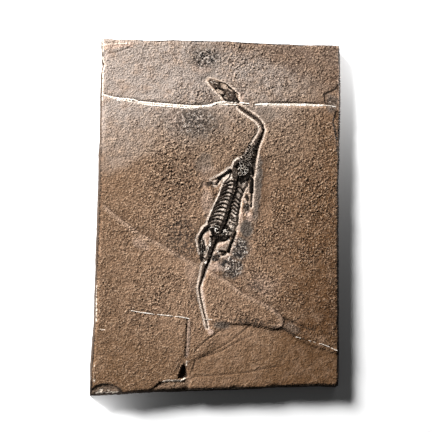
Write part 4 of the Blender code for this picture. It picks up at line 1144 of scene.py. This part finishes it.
def make_rib(name, middle, outer, flank, seed, wide=0.80):
    goal = Vector((middle[0], middle[1], 0.0))
    root = min(spine, key=lambda p: (p - goal).length)
    root = root + (goal - root).normalized() * 1.2
    tip = Vector((outer[0], outer[1], 0.0))
    end = tip.lerp(flank_point(flank, outer[1] - 0.6), 0.75)
    bm = bmesh.new()
    line = [(root.x, root.y), middle, outer, (end.x, end.y)]
    add_bone(bm, line, [wide * 0.9, wide, wide * 0.92, 0.5], 0.95, 0.9, 10, 0.05, 0.18, seed)
    crown = 0.30 + 0.25 * math.sin(seed * 2.1)

    def crown_wear(x, y):
        off = abs(float(offset_from(line, np.array([x]), np.array([y]))[0]))
        return crown * math.exp(-(off / 0.28) ** 2)

    wear(finish_piece(bm, name.replace("rib_", "rib_bone_"), bone, [name]), crown_wear)


for i, (middle, outer) in enumerate(LEFT_RIBS):
    make_rib(f"rib_left_{i + 1:02d}", middle, outer, "gastralia_left", i * 1.7)
for i, (middle, outer) in enumerate(RIGHT_RIBS):
    wide = 0.92 if i < 6 else 0.74
    make_rib(f"rib_right_{i + 1:02d}", middle, outer, "gastralia_right", 40 + i * 1.7, wide)

# %% The belly ribs along the flanks
def add_rods(bm, flank, ribs, rng):
    """The rods along a flank, the ends that run into it, and fine rods between the ribs."""
    line = smooth_line(FLANKS[flank], 2.6)
    for k in range(len(line) - 1):
        a, b = line[k][1], line[k + 1][1]
        reach = (b - a) * 0.2
        add_bone(bm, [(a - reach).xy, a.lerp(b, 0.5).xy, (b + reach).xy], [0.40, 0.62, 0.36],
                 0.85, 0.9, 8, 0.25 if k % 2 else 0.05, 0.2, k * 2.3)
    for (middle, outer), (next_middle, next_outer) in zip(ribs, ribs[1:]):
        start = Vector((middle[0], middle[1], 0)).lerp(Vector((outer[0], outer[1], 0)), 0.85)
        end = flank_point(flank, outer[1] - 2.1 - rng.uniform(0.3, 0.9))
        bend = start.lerp(end, 0.5) + Vector((0.0, 0.25, 0.0))
        add_bone(bm, [start.xy, bend.xy, end.xy], [0.24, 0.40, 0.30],
                 0.9, 0.9, 6, rng.uniform(0.1, 0.35), 0.2, outer[0])
        share = rng.uniform(0.40, 0.60)
        a = Vector(middle).lerp(Vector(next_middle), share)
        b = Vector(outer).lerp(Vector(next_outer), share)
        a = a.lerp(b, rng.uniform(-0.2, 0.4))
        add_bone(bm, [a, a.lerp(b, 0.5) + Vector((0.0, 0.1)), b], [0.13, 0.20, 0.15],
                 0.9, 0.9, 6, rng.uniform(0.55, 0.75), 0.2, outer[1])


for seed, (flank, ribs) in enumerate((("gastralia_left", LEFT_RIBS), ("gastralia_right", RIGHT_RIBS))):
    bm = bmesh.new()
    add_rods(bm, flank, ribs, random.Random(seed + 5))
    wear(finish_piece(bm, flank + "_rods", bone, [flank]), 0.12)

# %% [markdown]
# ## Limb bones
# The limbs are short: one stout upper bone, two lower bones and a fan of small toe bones. Each shaft
# narrows in the middle and flares to its ends.

# %% The long bones
WORN = {"scapula_left": 0.14, "radius_left": 0.35, "ulna_left": 0.3, "radius_right": 0.05,
        "ulna_right": 0.12, "tibia_left": 0.1, "fibula_left": 0.1, "tibia_right": 0.05,
        "fibula_right": 0.1, "coracoid_left": 0.32}
for seed, (name, (points, wides, flat)) in enumerate(LONG_BONES.items()):
    bm = bmesh.new()
    add_bone(bm, points, wides, flat, 0.9, 12, 0.0, 0.16, seed * 3.1)
    wear(finish_piece(bm, name + "_bone", bone, [name]), WORN.get(name, 0.0))

# %% The hands and feet
DIGIT_LENGTHS = [0.74, 0.94, 1.0, 0.92, 0.70]
FAN_WEAR = {"hand_left": 0.35, "hand_right": 0.22, "foot_left": 0.15, "foot_right": 0.12}


def make_fan(name, root, direction, length, spread, seed):
    """Wrist or ankle bones, then five digits, each a row of bones that get shorter outwards."""
    rng = random.Random(seed)
    bm = bmesh.new()
    middle = Vector(root)
    for k, share in enumerate(DIGIT_LENGTHS):
        angle = math.radians(direction + spread * (k / 4 - 0.5) + rng.uniform(-4, 4))
        ray = Vector((math.cos(angle), math.sin(angle)))
        start = 0.20 * length
        for bone_length in (0.30, 0.22, 0.17, 0.13):
            end = start + bone_length * length * share
            a = middle + ray * (start + 0.12)
            b = middle + ray * (end - 0.10)
            thick = 0.46 - 0.05 * (start / length) * 4
            wides = [thick, thick * 0.7, thick]
            add_bone(bm, [a, a.lerp(b, 0.5), b], wides, 0.9, 0.5, 8, 0.65, 0.1, seed + k)
            start = end
    for turn in (-22, 22):
        angle = math.radians(direction + turn)
        centre = Vector((root[0] + math.cos(angle) * 0.9, root[1] + math.sin(angle) * 0.9))
        add_bone(bm, [centre - Vector((0.25, 0.1)), centre + Vector((0.25, -0.1))], [0.55, 0.6],
                 0.8, 0.4, 8, 0.6)
    wear(finish_piece(bm, name + "_bones", bone, [name]), FAN_WEAR[name])


for seed, (name, (root, direction, length, spread)) in enumerate(FANS.items()):
    make_fan(name, root, direction, length, spread, seed)

# %% [markdown]
# ## Plates of the shoulder and hip
# These bones are thin plates. A plate starts as its outline, is extruded to its thickness and
# bevelled, and its face is pushed in a little so that the border stands up.

# %% The plates
def make_plate(name, outline, thickness=1.40):
    bm = bmesh.new()
    face = bm.faces.new([bm.verts.new((x * MM, y * MM, BED * MM)) for x, y in outline])
    grown = bmesh.ops.extrude_face_region(bm, geom=[face])["geom"]
    bmesh.ops.translate(bm, vec=(0, 0, thickness * MM),
                        verts=[g for g in grown if isinstance(g, bmesh.types.BMVert)])
    bmesh.ops.recalc_face_normals(bm, faces=bm.faces)
    bmesh.ops.bevel(bm, geom=bm.edges[:], offset=0.35 * MM, offset_type="OFFSET", segments=3,
                    profile=0.5, affect="EDGES", material=-1, clamp_overlap=True)
    top = max(bm.faces, key=lambda f: f.calc_center_median().z)
    bmesh.ops.inset_region(bm, faces=[top], thickness=0.45 * MM, use_even_offset=True)
    bmesh.ops.translate(bm, vec=(0, 0, -0.25 * MM), verts=list(top.verts))
    wear(finish_piece(bm, name + "_bone", bone, [name], sharp=50.0), WORN.get(name, 0.0))


for name, outline in PLATES.items():
    make_plate(name, outline)

# %% [markdown]
# ## Crushed bone at the shoulder and hip
# Where the limbs join, clavicles, neck ribs and hip ribs lie broken over each other. They are too
# small to tell apart, so short bones are scattered inside two patches, each turned its own way.

# %% The crushed bones
# the larger lumps at the shoulder: x, y, half length, half width, turn
SHOULDER_CELLS = [
    (19.2, 38.2, 1.50, 1.02, -20), (17.2, 34.8, 1.44, 1.38, 0), (22.2, 37.6, 1.08, 1.02, 0),
    (20.2, 35.4, 0.90, 0.84, 0), (19.2, 41.0, 1.44, 0.96, -20), (21.3, 43.0, 1.32, 0.96, -30),
    (23.7, 41.7, 1.44, 0.90, -30), (22.8, 39.8, 0.96, 0.72, 0), (17.8, 44.2, 1.08, 1.02, 0),
    (16.5, 41.5, 0.96, 1.08, 90), (22.6, 46.9, 1.14, 0.96, 0), (24.2, 45.4, 1.08, 0.78, -20),
    (25.5, 43.6, 1.02, 0.90, 0), (19.4, 45.9, 1.08, 0.78, 0), (23.6, 53.9, 1.08, 0.90, 0),
    (22.3, 51.8, 1.02, 0.90, 0), (27.6, 51.4, 1.20, 1.08, 0), (29.2, 56.4, 1.68, 1.56, 90),
    (26.0, 50.0, 0.96, 0.90, 0), (27.0, 54.0, 1.02, 0.96, 0), (24.8, 48.3, 1.02, 0.84, 0),
    (22.9, 49.4, 0.84, 0.72, 0), (25.2, 56.2, 0.96, 0.84, 0), (25.0, 52.6, 0.84, 0.84, 0)]
NECK_RIBS = [(26.2, 60.0), (25.2, 57.8), (24.2, 55.6), (23.0, 53.5), (21.6, 51.5), (19.9, 49.7),
             (17.8, 48.5), (26.6, 55.0), (25.4, 52.2), (23.8, 49.4)]
# the patches of small pieces: middle, radii, turn and how many
FRAGMENT_PATCHES = {
    "shoulder_fragments": [((20.0, 39.6), (5.6, 8.0), 0, 44), ((24.5, 48.5), (4.4, 6.0), 20, 26)],
    "hip_fragments": [((-1.6, -14.6), (6.4, 5.0), 8, 44), ((-6.4, -21.0), (2.2, 5.6), -12, 18),
                      ((6.6, -12.6), (3.4, 3.6), 0, 14), ((-8.4, -31.0), (1.5, 6.4), -14, 26),
                      ((-15.4, -30.6), (2.0, 6.2), 8, 15), ((-15.8, -38.6), (1.6, 2.6), 10, 5)],
}


def scatter(bm, centre, radii, turn, count, rng):
    """Short bent bones at random inside an ellipse."""
    c, s = math.cos(math.radians(turn)), math.sin(math.radians(turn))
    for k in range(count):
        reach = math.sqrt(rng.random())
        angle = rng.uniform(0, 2 * math.pi)
        u, v = reach * radii[0] * math.cos(angle), reach * radii[1] * math.sin(angle)
        middle = Vector((centre[0] + u * c - v * s, centre[1] + u * s + v * c))
        heading = rng.uniform(0, math.pi)
        half = Vector((math.cos(heading), math.sin(heading))) * rng.uniform(1.4, 3.2) / 2
        bend = Vector((-half.y, half.x)) * rng.uniform(-0.4, 0.4)
        wide = rng.uniform(0.26, 0.46)
        add_bone(bm, [middle - half, middle + bend, middle + half], [wide * 1.2, wide * 0.8, wide * 1.15],
                 0.9, 0.7, 6, rng.uniform(0.1, 0.75), 0.2, k * 1.3)


def add_shoulder_lumps(bm, rng):
    """The larger lumps, and the short neck ribs in two rows."""
    for k, (x, y, rx, ry, turn) in enumerate(SHOULDER_CELLS):
        heading = Vector((math.cos(math.radians(turn)), math.sin(math.radians(turn))))
        half = heading * max(rx - ry * 0.6, 0.1)
        add_bone(bm, [(x - half.x, y - half.y), (x, y), (x + half.x, y + half.y)], [ry * 0.9, ry, ry * 0.9],
                 0.55, 0.5, 10, 0.8, 0.15, k)
    for k, (x, y) in enumerate(NECK_RIBS):
        half = Vector((0.75, -0.42)) * rng.uniform(0.8, 1.15)
        line = [(x - half.x, y - half.y), (x + half.x, y + half.y)]
        add_bone(bm, line, [0.72, 0.62], 0.8, 0.6, 8, 0.3, 0.2, k)


rng = random.Random(41)
for name, patches in FRAGMENT_PATCHES.items():
    bm = bmesh.new()
    for centre, radii, turn, count in patches:
        scatter(bm, centre, radii, turn, count, rng)
    if name == "shoulder_fragments":
        add_shoulder_lumps(bm, rng)
    wear(finish_piece(bm, name, bone), 0.0)

# %% [markdown]
# ## The skull
# The skull is a low roof with long eye openings and smaller openings behind them for the jaw muscles.
# A sheet of small faces is laid along its middle line, the openings are cut out of it, the roof is
# raised at the rims and sunk at the joints between the bones, and the sheet is extruded down.

# %% The skull's roof
# an opening is its middle along and across the skull, and its two radii
EYES = [(13.3, 2.0, 4.8, 2.35), (12.8, -4.0, 4.4, 1.8)]
TEMPLES = [(20.0, 2.5, 2.4, 1.0), (20.2, -5.6, 2.6, 0.95), (22.6, -1.9, 0.75, 0.55)]
NOSTRILS = [(5.9, 0.2, 1.9, 0.50), (7.4, -1.9, 1.9, 0.48)]
SKULL_BARS = [[(0.0, 115.8), (5.0, 114.1), (8.6, 110.9), (12.0, 108.2), (15.4, 105.7)],
              [(0.3, 104.0), (2.2, 101.4), (4.3, 98.9)], [(-1.9, 116.4), (-1.7, 114.4), (-1.6, 112.2)]]
OPENINGS = EYES + TEMPLES + NOSTRILS
SKULL_BED = 11.35
ALONG_SKULL = 66
ACROSS_SKULL = 30


def skull_middle(s):
    return float(np.interp(s, [p[0] for p in SKULL_MIDDLE], [p[1] for p in SKULL_MIDDLE]))


def skull_half(s):
    return float(np.interp(s, [p[0] for p in SKULL_MIDDLE], SKULL_HALF_WIDTHS))


def ring_height(s, w, openings, wide, high):
    """A raised rim round each opening."""
    total = 0.0
    for a, b, rs, rw in openings:
        away = math.hypot((s - a) / (rs + 0.6), (w - b) / (rw + 0.6)) - 1.0
        total += high * math.exp(-(away / wide) ** 2)
    return total


def make_skull():
    bm = bmesh.new()
    bmesh.ops.create_grid(bm, x_segments=ALONG_SKULL, y_segments=ACROSS_SKULL, size=1.0)
    flat = {}
    for vert in bm.verts:
        s = SKULL_MIDDLE[-1][0] * (vert.co.x + 1) / 2
        w = skull_middle(s) + vert.co.y * skull_half(s)
        flat[vert] = (s, w)
    gone = []
    for face in bm.faces:
        s = sum(flat[v][0] for v in face.verts) / len(face.verts)
        w = sum(flat[v][1] for v in face.verts) / len(face.verts)
        if any(math.hypot((s - a) / rs, (w - b) / rw) < 1 for a, b, rs, rw in OPENINGS):
            gone.append(face)
    bmesh.ops.delete(bm, geom=gone, context="FACES")
    for vert in bm.verts:
        s, w = flat[vert]
        if vert.is_boundary:
            for a, b, rs, rw in OPENINGS:
                away = math.hypot((s - a) / rs, (w - b) / rw)
                if 0.45 < away < 1.6:
                    s, w = a + (s - a) / away, b + (w - b) / away
                    break
        edge = abs(w - skull_middle(s)) / max(skull_half(s), 0.1)
        roof = 1.15 * (1 - 0.55 * edge ** 3) * min(1.0, 0.55 + s / 9.0) * min(1.0, 0.5 + (32.8 - s) / 8.0)
        roof += ring_height(s, w, EYES, 0.22, 0.30) + ring_height(s, w, TEMPLES, 0.30, 0.24)
        # the joints between the bones: one along the middle and two curved ones across
        middle = w - skull_middle(s)
        roof -= 0.26 * math.exp(-(middle / 0.28) ** 2) * (s < 24)
        roof -= 0.20 * math.exp(-((s - 16.2 - 0.10 * middle * middle) / 0.32) ** 2)
        roof -= 0.18 * math.exp(-((s - 8.2 + 0.10 * middle * middle) / 0.30) ** 2)
        roof += 0.22 * noise.noise(Vector((s * 0.7, w * 0.7, 3.3)))
        x, y = skull_point(s, w)
        vert.co = (x * MM, y * MM, (SKULL_BED + max(roof, 0.3)) * MM)
    grown = bmesh.ops.extrude_face_region(bm, geom=bm.faces[:], use_keep_orig=True)["geom"]
    for vert in (g for g in grown if isinstance(g, bmesh.types.BMVert)):
        vert.co.z = (SKULL_BED - 0.25) * MM
    for seed, bar in enumerate(SKULL_BARS):
        wides = [0.40] + [0.50] * (len(bar) - 2) + [0.35]
        add_bone(bm, bar, wides, 0.9, 0.8, 8, SKULL_BED - BED, 0.25, seed)
    return bm


skull_piece = finish_piece(make_skull(), "skull_bone", bone, ["skull"], sharp=50.0)


def skull_wear(x, y):
    """Brown on the snout and in swirls over the back of the roof, nearly black elsewhere."""
    s, w = turned(x - SKULL_SNOUT[0], y - SKULL_SNOUT[1], -SKULL_TURN)
    w -= skull_middle(s)
    snout = 0.70 * math.exp(-((s - 4.0) / 4.6) ** 2)
    crown = math.exp(-(((s - 21.5) / 5.5) ** 2 + (w / 4.2) ** 2) ** 2)
    swirl = noise.noise(Vector((x * 0.95, y * 0.95, 2.0)))
    return max(0.0, snout * (0.8 + 1.1 * swirl) + crown * (0.46 + 1.2 * swirl) + 0.05)


wear(skull_piece, skull_wear)

# %% [markdown]
# ## Calcite
# Water left calcite in the cracks: milky white crystals that stand a little above the rock. A vein
# is a drawn section whose width and height change at every station, so that it looks broken.

# %% The calcite's material
calcite, calcite_shader, place, read = new_material("calcite")
cloud = place.noise(260.0, 4.0, 0.6)
crystals = place.add("ShaderNodeTexVoronoi", None, {"Vector": place, "Scale": 700.0})
white = ((cloud - 0.42) * 3.2).clamped().mix((0.60, 0.520, 0.430), (0.90, 0.850, 0.790))
white = ((place.noise(600.0, 3.0, 0.6) - 0.60) * 6.0).clamped().mix(white, (0.34, 0.265, 0.205))
white = (read("dull") + (cloud - 0.5) * 0.8 * read("dull")).clamped().mix(white, (0.20, 0.155, 0.120))
plug(calcite_shader, "Base Color", white)
plug(calcite_shader, "Roughness", 0.42 + 0.25 * cloud)
bump(calcite_shader, [(crystals, 0.35), (place.noise(1800.0, 3.0, 0.6), 0.10)])

# %% The veins
# each vein is several strands: the points of a strand and its half widths there
VEINS = {
    "vein_left": [
        ([(-102.4, 99.9), (-98.6, 98.7), (-89.2, 97.0), (-80.5, 96.9), (-75.0, 96.5), (-71.0, 94.9),
          (-63.0, 94.5), (-57.5, 94.1), (-43.1, 93.6), (-28.0, 93.0), (-17.7, 93.1), (-8.6, 94.4),
          (-3.4, 96.6), (2.0, 97.7), (8.0, 98.0), (14.2, 98.0)],
         [0.8, 0.95, 0.9, 1.05, 0.8, 0.9, 1.0, 0.9, 1.05, 1.0, 1.2, 1.2, 0.95, 0.7, 0.7, 0.6]),
        ([(-92.0, 95.4), (-82.0, 95.0), (-70.0, 93.1), (-64.0, 92.4), (-56.0, 92.0), (-42.0, 91.6),
          (-30.0, 91.1), (-19.0, 91.8)], [0.3, 0.45, 0.3, 0.7, 0.65, 0.6, 0.6, 0.3]),
        ([(-2.6, 95.9), (4.0, 95.7), (10.0, 95.9), (15.2, 96.0)], [0.5, 0.65, 0.6, 0.4]),
        ([(17.2, 97.7), (21.0, 97.5), (25.6, 97.3)], [0.6, 0.8, 0.35])],
    "vein_right": [
        ([(30.8, 96.5), (38.0, 97.1), (47.6, 97.7), (60.0, 98.2), (73.9, 98.7), (88.3, 98.4),
          (93.0, 98.9)], [0.6, 1.3, 1.7, 1.8, 1.75, 1.4, 0.7]),
        ([(93.0, 98.9), (98.0, 98.6), (104.2, 97.6)], [0.5, 0.35, 0.35])],
    "vein_lower_left": [
        ([(-75.8, -83.9), (-68.2, -85.2), (-63.2, -85.9), (-56.0, -86.8)], [0.35, 0.5, 0.5, 0.25]),
        ([(-54.0, -86.9), (-45.1, -87.8), (-41.0, -88.3)], [0.3, 0.55, 0.3]),
        ([(-39.0, -88.4), (-33.0, -89.2), (-26.8, -90.3)], [0.3, 0.5, 0.4])],
    "vein_lower_right": [
        ([(86.1, -110.8), (90.0, -112.0), (94.9, -113.8)], [0.3, 0.42, 0.3]),
        ([(76.8, -108.3), (78.6, -108.9)], [0.3, 0.34]), ([(65.4, -105.3), (69.3, -106.3)], [0.3, 0.35]),
        ([(81.0, -109.6), (82.4, -110.0)], [0.24, 0.26]), ([(97.0, -114.9), (101.6, -116.9)], [0.34, 0.36])],
}


slab_surface = BVHTree.FromObject(slab, bpy.context.evaluated_depsgraph_get())


def add_vein(bm, points, wides, seed):
    """A broken ribbon of crystals that follows the rock and stands a little proud of it."""
    rng = random.Random(seed)
    centres, widths, heights = [], [], []
    level = None
    for u, p in smooth_line(points, 0.7):
        wide = value_at(wides, u) * rng.uniform(0.80, 1.30)
        ground = drop(slab_surface, p.x, p.y)
        ground = SLAB_TOP if ground is None else ground
        level = ground if level is None else level * 0.6 + ground * 0.4
        centres.append(Vector((p.x, p.y + rng.uniform(-0.15, 0.15), min(level, 12.4) - 0.03)))
        widths.append(wide)
        heights.append(0.30 + 0.28 * rng.uniform(0.2, 1.0))
    draw_section(bm, rounded(centres, widths, heights), 10)


for seed, (name, strands) in enumerate(VEINS.items()):
    bm = bmesh.new()
    for k, (points, wides) in enumerate(strands):
        add_vein(bm, points, wides, seed * 10 + k)
    piece = finish_piece(bm, name + "_crystals", calcite, [name], sharp=30.0)
    store(piece, "dull", [0.35 if "lower" in name else 0.0] * len(piece.data.vertices))

# %% Seams of matrix left between the crushed bones
pieces = [ob for ob in bpy.context.scene.collection.objects
          if ob.type == "MESH" and (ob.name.endswith(("_bones", "_fragments", "_bone")) or ob is slab)]
surfaces = [BVHTree.FromObject(ob, bpy.context.evaluated_depsgraph_get()) for ob in pieces]


def height_over_all(x, y):
    heights = [drop(tree, x, y) for tree in surfaces]
    return max(height for height in heights if height is not None)


def inside_cell(cell, point):
    x, y, rx, ry, turn = cell
    u, v = turned(point[0] - x, point[1] - y, -turn)
    return math.hypot(u / (rx + 0.05), v / (ry + 0.05)) < 1.0


def from_white(x, y):
    """How far a place is from the two whitest spots of the shoulder, in mm."""
    return min(math.hypot(x - 22.4, y - 36.4), math.hypot(x - 16.4, y - 39.4) + 1.0)


def add_seam(bm, points, wide):
    """A thin string of matrix over whatever lies at the points."""
    centres = [Vector((x, y, height_over_all(x, y) - 0.02)) for x, y in points]
    level = max(c.z for c in centres)
    for centre in centres:
        centre.z = max(centre.z, level - 0.25)
    wides = [wide * rng.uniform(0.7, 1.3) for _ in centres]
    draw_section(bm, rounded(centres, wides, [0.22] * len(centres)), 6)


def add_net(bm, centre, radii, cell, wide, keep):
    """Seams round six-sided cells inside an ellipse, each corner moved a little."""
    def moved(x, y):
        shift = noise.noise_vector(Vector((x * 1.7, y * 1.7, 5.0))) * cell * 0.9
        return centre[0] + x + shift.x, centre[1] + y + shift.y

    drawn = set()
    for j in range(-int(radii[1] / cell) - 1, int(radii[1] / cell) + 2):
        for i in range(-int(radii[0] / cell) - 1, int(radii[0] / cell) + 2):
            hub = ((i + (j % 2) / 2) * 1.732 * cell, j * 1.5 * cell)
            corners = [(hub[0] + cell * math.sin(k * math.pi / 3), hub[1] + cell * math.cos(k * math.pi / 3))
                       for k in range(7)]
            for a, b in zip(corners, corners[1:]):
                middle = ((a[0] + b[0]) / 2, (a[1] + b[1]) / 2)
                key = (round(middle[0], 2), round(middle[1], 2))
                away = math.hypot(middle[0] / radii[0], middle[1] / radii[1])
                if key in drawn or away > 1 or rng.random() > keep:
                    continue
                drawn.add(key)
                away = math.hypot(centre[0] + middle[0] - 22.6, centre[1] + middle[1] - 36.2)
                seam = [moved(*a), moved(*middle), moved(*b)]
                add_seam(bm, seam, wide * max(0.8, 1.6 - 0.16 * away))


def add_cell_walls(bm):
    """Seams round the shoulder's lumps, left out inside a lump and where a wall is already there."""
    walled = []
    for x, y, rx, ry, turn in SHOULDER_CELLS:
        c, s = math.cos(math.radians(turn)), math.sin(math.radians(turn))
        runs = [[]]
        for k in range(19):
            u = (rx + 0.20) * math.cos(k * math.pi / 9)
            v = (ry + 0.20) * math.sin(k * math.pi / 9)
            spot = (x + u * c - v * s, y + u * s + v * c)
            doubled = any(math.dist(spot, old) < 0.34 for old in walled)
            if doubled or any(inside_cell(cell, spot) for cell in SHOULDER_CELLS):
                runs.append([])
            else:
                runs[-1].append(spot)
        for run in runs:
            if len(run) > 1:
                add_seam(bm, run, max(0.12, 0.21 - 0.010 * from_white(x, y)))
            walled += run


SHOULDER_SEAMS = [([(24.0, 39.6), (24.2, 37.6), (23.3, 36.1), (21.6, 34.5), (19.0, 33.6)], 0.24),
                  ([(15.4, 38.6), (16.2, 39.6), (17.2, 40.0)], 0.30),
                  ([(26.0, 44.6), (26.9, 43.2), (27.2, 41.6)], 0.20)]
OTHER_SEAMS = [([(-8.8, 115.6), (-7.2, 114.4), (-5.8, 113.4)], 0.20),
               ([(-5.6, 114.9), (-4.2, 114.0), (-3.0, 113.4)], 0.20),
               ([(-6.8, 116.6), (-5.2, 115.9)], 0.20),
               ([(-10.4, -13.6), (-8.8, -12.5), (-7.0, -12.1), (-5.6, -12.5)], 0.30),
               ([(-4.6, -13.2), (-4.9, -14.6), (-4.4, -16.2), (-3.2, -17.0), (-1.9, -16.2)], 0.36),
               ([(-4.6, -13.2), (-3.4, -13.3), (-2.6, -14.0)], 0.40),
               ([(-4.4, -10.8), (-2.4, -11.0), (-0.8, -12.2)], 0.28),
               ([(-14.8, -90.5), (-12.2, -90.9), (-9.6, -90.7), (-7.4, -91.1)], 0.30)]
# without a seed of its own, noise_vector starts from the clock and differs in every run
noise.seed_set(7)
rng = random.Random(77)
bm = bmesh.new()
add_cell_walls(bm)
for points, wide in SHOULDER_SEAMS:
    add_seam(bm, points, wide)
add_net(bm, (12.4, 35.2), (1.6, 3.6), 1.3, 0.10, 0.30)
for points, wide in OTHER_SEAMS:
    add_seam(bm, points, wide)
print(len(bm.verts), "points of seam")

# %% Crumbs of calcite and matrix
def add_crumb(bm, x, y, z, size, rng):
    made = bmesh.ops.create_icosphere(bm, subdivisions=1, radius=1.0)["verts"]
    turn = Matrix.Rotation(rng.uniform(0, math.pi), 4, 'Z')
    shape = Matrix.Diagonal((size * rng.uniform(0.8, 1.7), size * rng.uniform(0.5, 0.9), size * 0.55, 1.0))
    bmesh.ops.transform(bm, matrix=Matrix.Translation((x * MM, y * MM, z * MM)) @ turn @ shape, verts=made)


# a patch of crumbs is its middle, its radii, the crumbs' size and how many there are
CRUMB_PATCHES = [((8.4, 104.5), (0.4, 0.4), 0.36, 3),
                 ((4.0, 103.2), (0.7, 0.9), 0.34, 5), ((5.6, 100.5), (0.6, 0.5), 0.30, 3),
                 ((6.8, 106.4), (0.5, 0.4), 0.28, 2), ((25.0, 49.0), (4.2, 5.0), 0.24, 8),
                 ((4.4, -15.4), (1.5, 1.2), 0.58, 16), ((2.4, -14.4), (0.6, 0.6), 0.46, 4),
                 ((4.6, -17.5), (0.9, 0.7), 0.44, 5), ((1.2, -18.3), (1.0, 0.6), 0.36, 5),
                 ((9.8, -8.0), (1.6, 3.2), 0.30, 7), ((7.3, -22.6), (0.6, 0.9), 0.46, 5),
                 ((-9.2, -25.0), (0.6, 3.6), 0.50, 12), ((-9.4, -27.3), (0.3, 0.3), 0.60, 2),
                 ((-10.6, -30.6), (0.5, 1.4), 0.46, 5), ((-15.2, -30.0), (2.0, 6.4), 0.32, 20),
                 ((-9.0, -35.0), (1.0, 3.0), 0.24, 6),
                 ((9.6, -12.4), (1.6, 1.2), 0.40, 6), ((-12.9, -42.4), (0.5, 1.0), 0.72, 8),
                 ((20.0, 9.4), (2.6, 4.4), 0.26, 14), ((-2.6, -33.4), (0.7, 0.9), 0.36, 4)]
for centre, radii, size, count in CRUMB_PATCHES:
    for k in range(count):
        x = centre[0] + radii[0] * rng.uniform(-1, 1)
        y = centre[1] + radii[1] * rng.uniform(-1, 1)
        add_crumb(bm, x, y, height_over_all(x, y) - 0.02, size * rng.uniform(0.6, 1.25) * MM, rng)
crumbs = finish_piece(bm, "matrix_crumbs", calcite)


def crumb_dullness(x, y):
    """Crumbs at the skull are half dull, those at the hip white, the shoulder's duller outwards."""
    if y > 90:
        return 0.45
    if y <= 28:
        return 0.1
    return 0.85 if x < 15.2 else min(max(0.13 * (from_white(x, y) - 1.6), 0.0), 0.9)


store(crumbs, "dull", [crumb_dullness(v.co.x / MM, v.co.y / MM) for v in crumbs.data.vertices])

# %% [markdown]
# ## Floor, light and camera
# A plain pale floor and one broad lamp low at the upper left throw the slab's short shadow. The
# camera looks down along the same lean at which the slab's two near sides just show.

# %% Floor
floor_bm = bmesh.new()
bmesh.ops.create_grid(floor_bm, x_segments=1, y_segments=1, size=3.0)
floor_mesh = bpy.data.meshes.new("floor")
floor_bm.to_mesh(floor_mesh)
floor_bm.free()
floor_paint, floor_shader, _, _ = new_material("floor_paint")
floor_shader.inputs["Base Color"].default_value = (0.86, 0.86, 0.86, 1.0)
floor_shader.inputs["Roughness"].default_value = 0.9
floor_mesh.materials.append(floor_paint)
floor = bpy.data.objects.new("floor", floor_mesh)
bpy.context.scene.collection.objects.link(floor)

# %% Light
def add_lamp(name, place_at, aim, sizes, watts):
    """A rectangular lamp at a place, turned to face the aim; both in metres."""
    lamp = bpy.data.lights.new(name, "AREA")
    lamp.shape = "RECTANGLE"
    lamp.size, lamp.size_y = sizes
    lamp.energy = watts
    lamp_object = bpy.data.objects.new(name, lamp)
    lamp_object.location = place_at
    lamp_object.rotation_euler = (Vector(place_at) - Vector(aim)).to_track_quat("Z", "Y").to_euler()
    lamp_object.visible_camera = False
    bpy.context.scene.collection.objects.link(lamp_object)
    return lamp


LAMP_WAY = Vector((-1.78, 1.64, 1.0)).normalized()
add_lamp("lamp", LAMP_WAY * 1.5, (0, 0, 0), (0.62, 0.34), 106.0)
# two low strip lamps on the floor thin the shadow out at two of the slab's corners
for name, place_at, aim, sizes, watts in (
        ("strip_right", (0.205, 0.180, 0.0065), (0.110, 0.095, 0.0), (0.10, 0.012), 0.50),
        ("strip_foot", (-0.112, -0.180, 0.0065), (-0.088, -0.160, 0.0), (0.03, 0.012), 0.009)):
    add_lamp(name, place_at, aim, sizes, watts).spread = math.radians(100)
world = bpy.data.worlds.new("room")
world.use_nodes = True
world.node_tree.nodes["Background"].inputs["Color"].default_value = (1.0, 1.0, 1.0, 1.0)
world.node_tree.nodes["Background"].inputs["Strength"].default_value = 0.042
bpy.context.scene.world = world
bpy.context.scene.view_settings.view_transform = "Standard"

# %% Camera
LENS = 85.0
SENSOR = 36.0
PICTURE_WIDTH = 432
MM_PER_PIXEL = 0.857
CAMERA_DISTANCE = MM_PER_PIXEL * MM * PICTURE_WIDTH * LENS / SENSOR
LEAN = (math.tan(math.radians(10.0)), math.tan(math.radians(7.7)))
target = Vector((-4.1, -2.5, 12.0)) * MM
back = Vector((-LEAN[0], -LEAN[1], 1.0)).normalized()
right_way = Vector((0, 1, 0)).cross(back).normalized()
up_way = back.cross(right_way)
camera = bpy.data.cameras.new("camera")
camera.lens = LENS
camera.sensor_width = SENSOR
camera_object = bpy.data.objects.new("camera", camera)
facing = Matrix((right_way, up_way, back)).transposed().to_4x4()
camera_object.matrix_world = Matrix.Translation(target + back * CAMERA_DISTANCE) @ facing
bpy.context.scene.collection.objects.link(camera_object)
bpy.context.scene.camera = camera_object
print("camera", round(CAMERA_DISTANCE, 3), "m away")
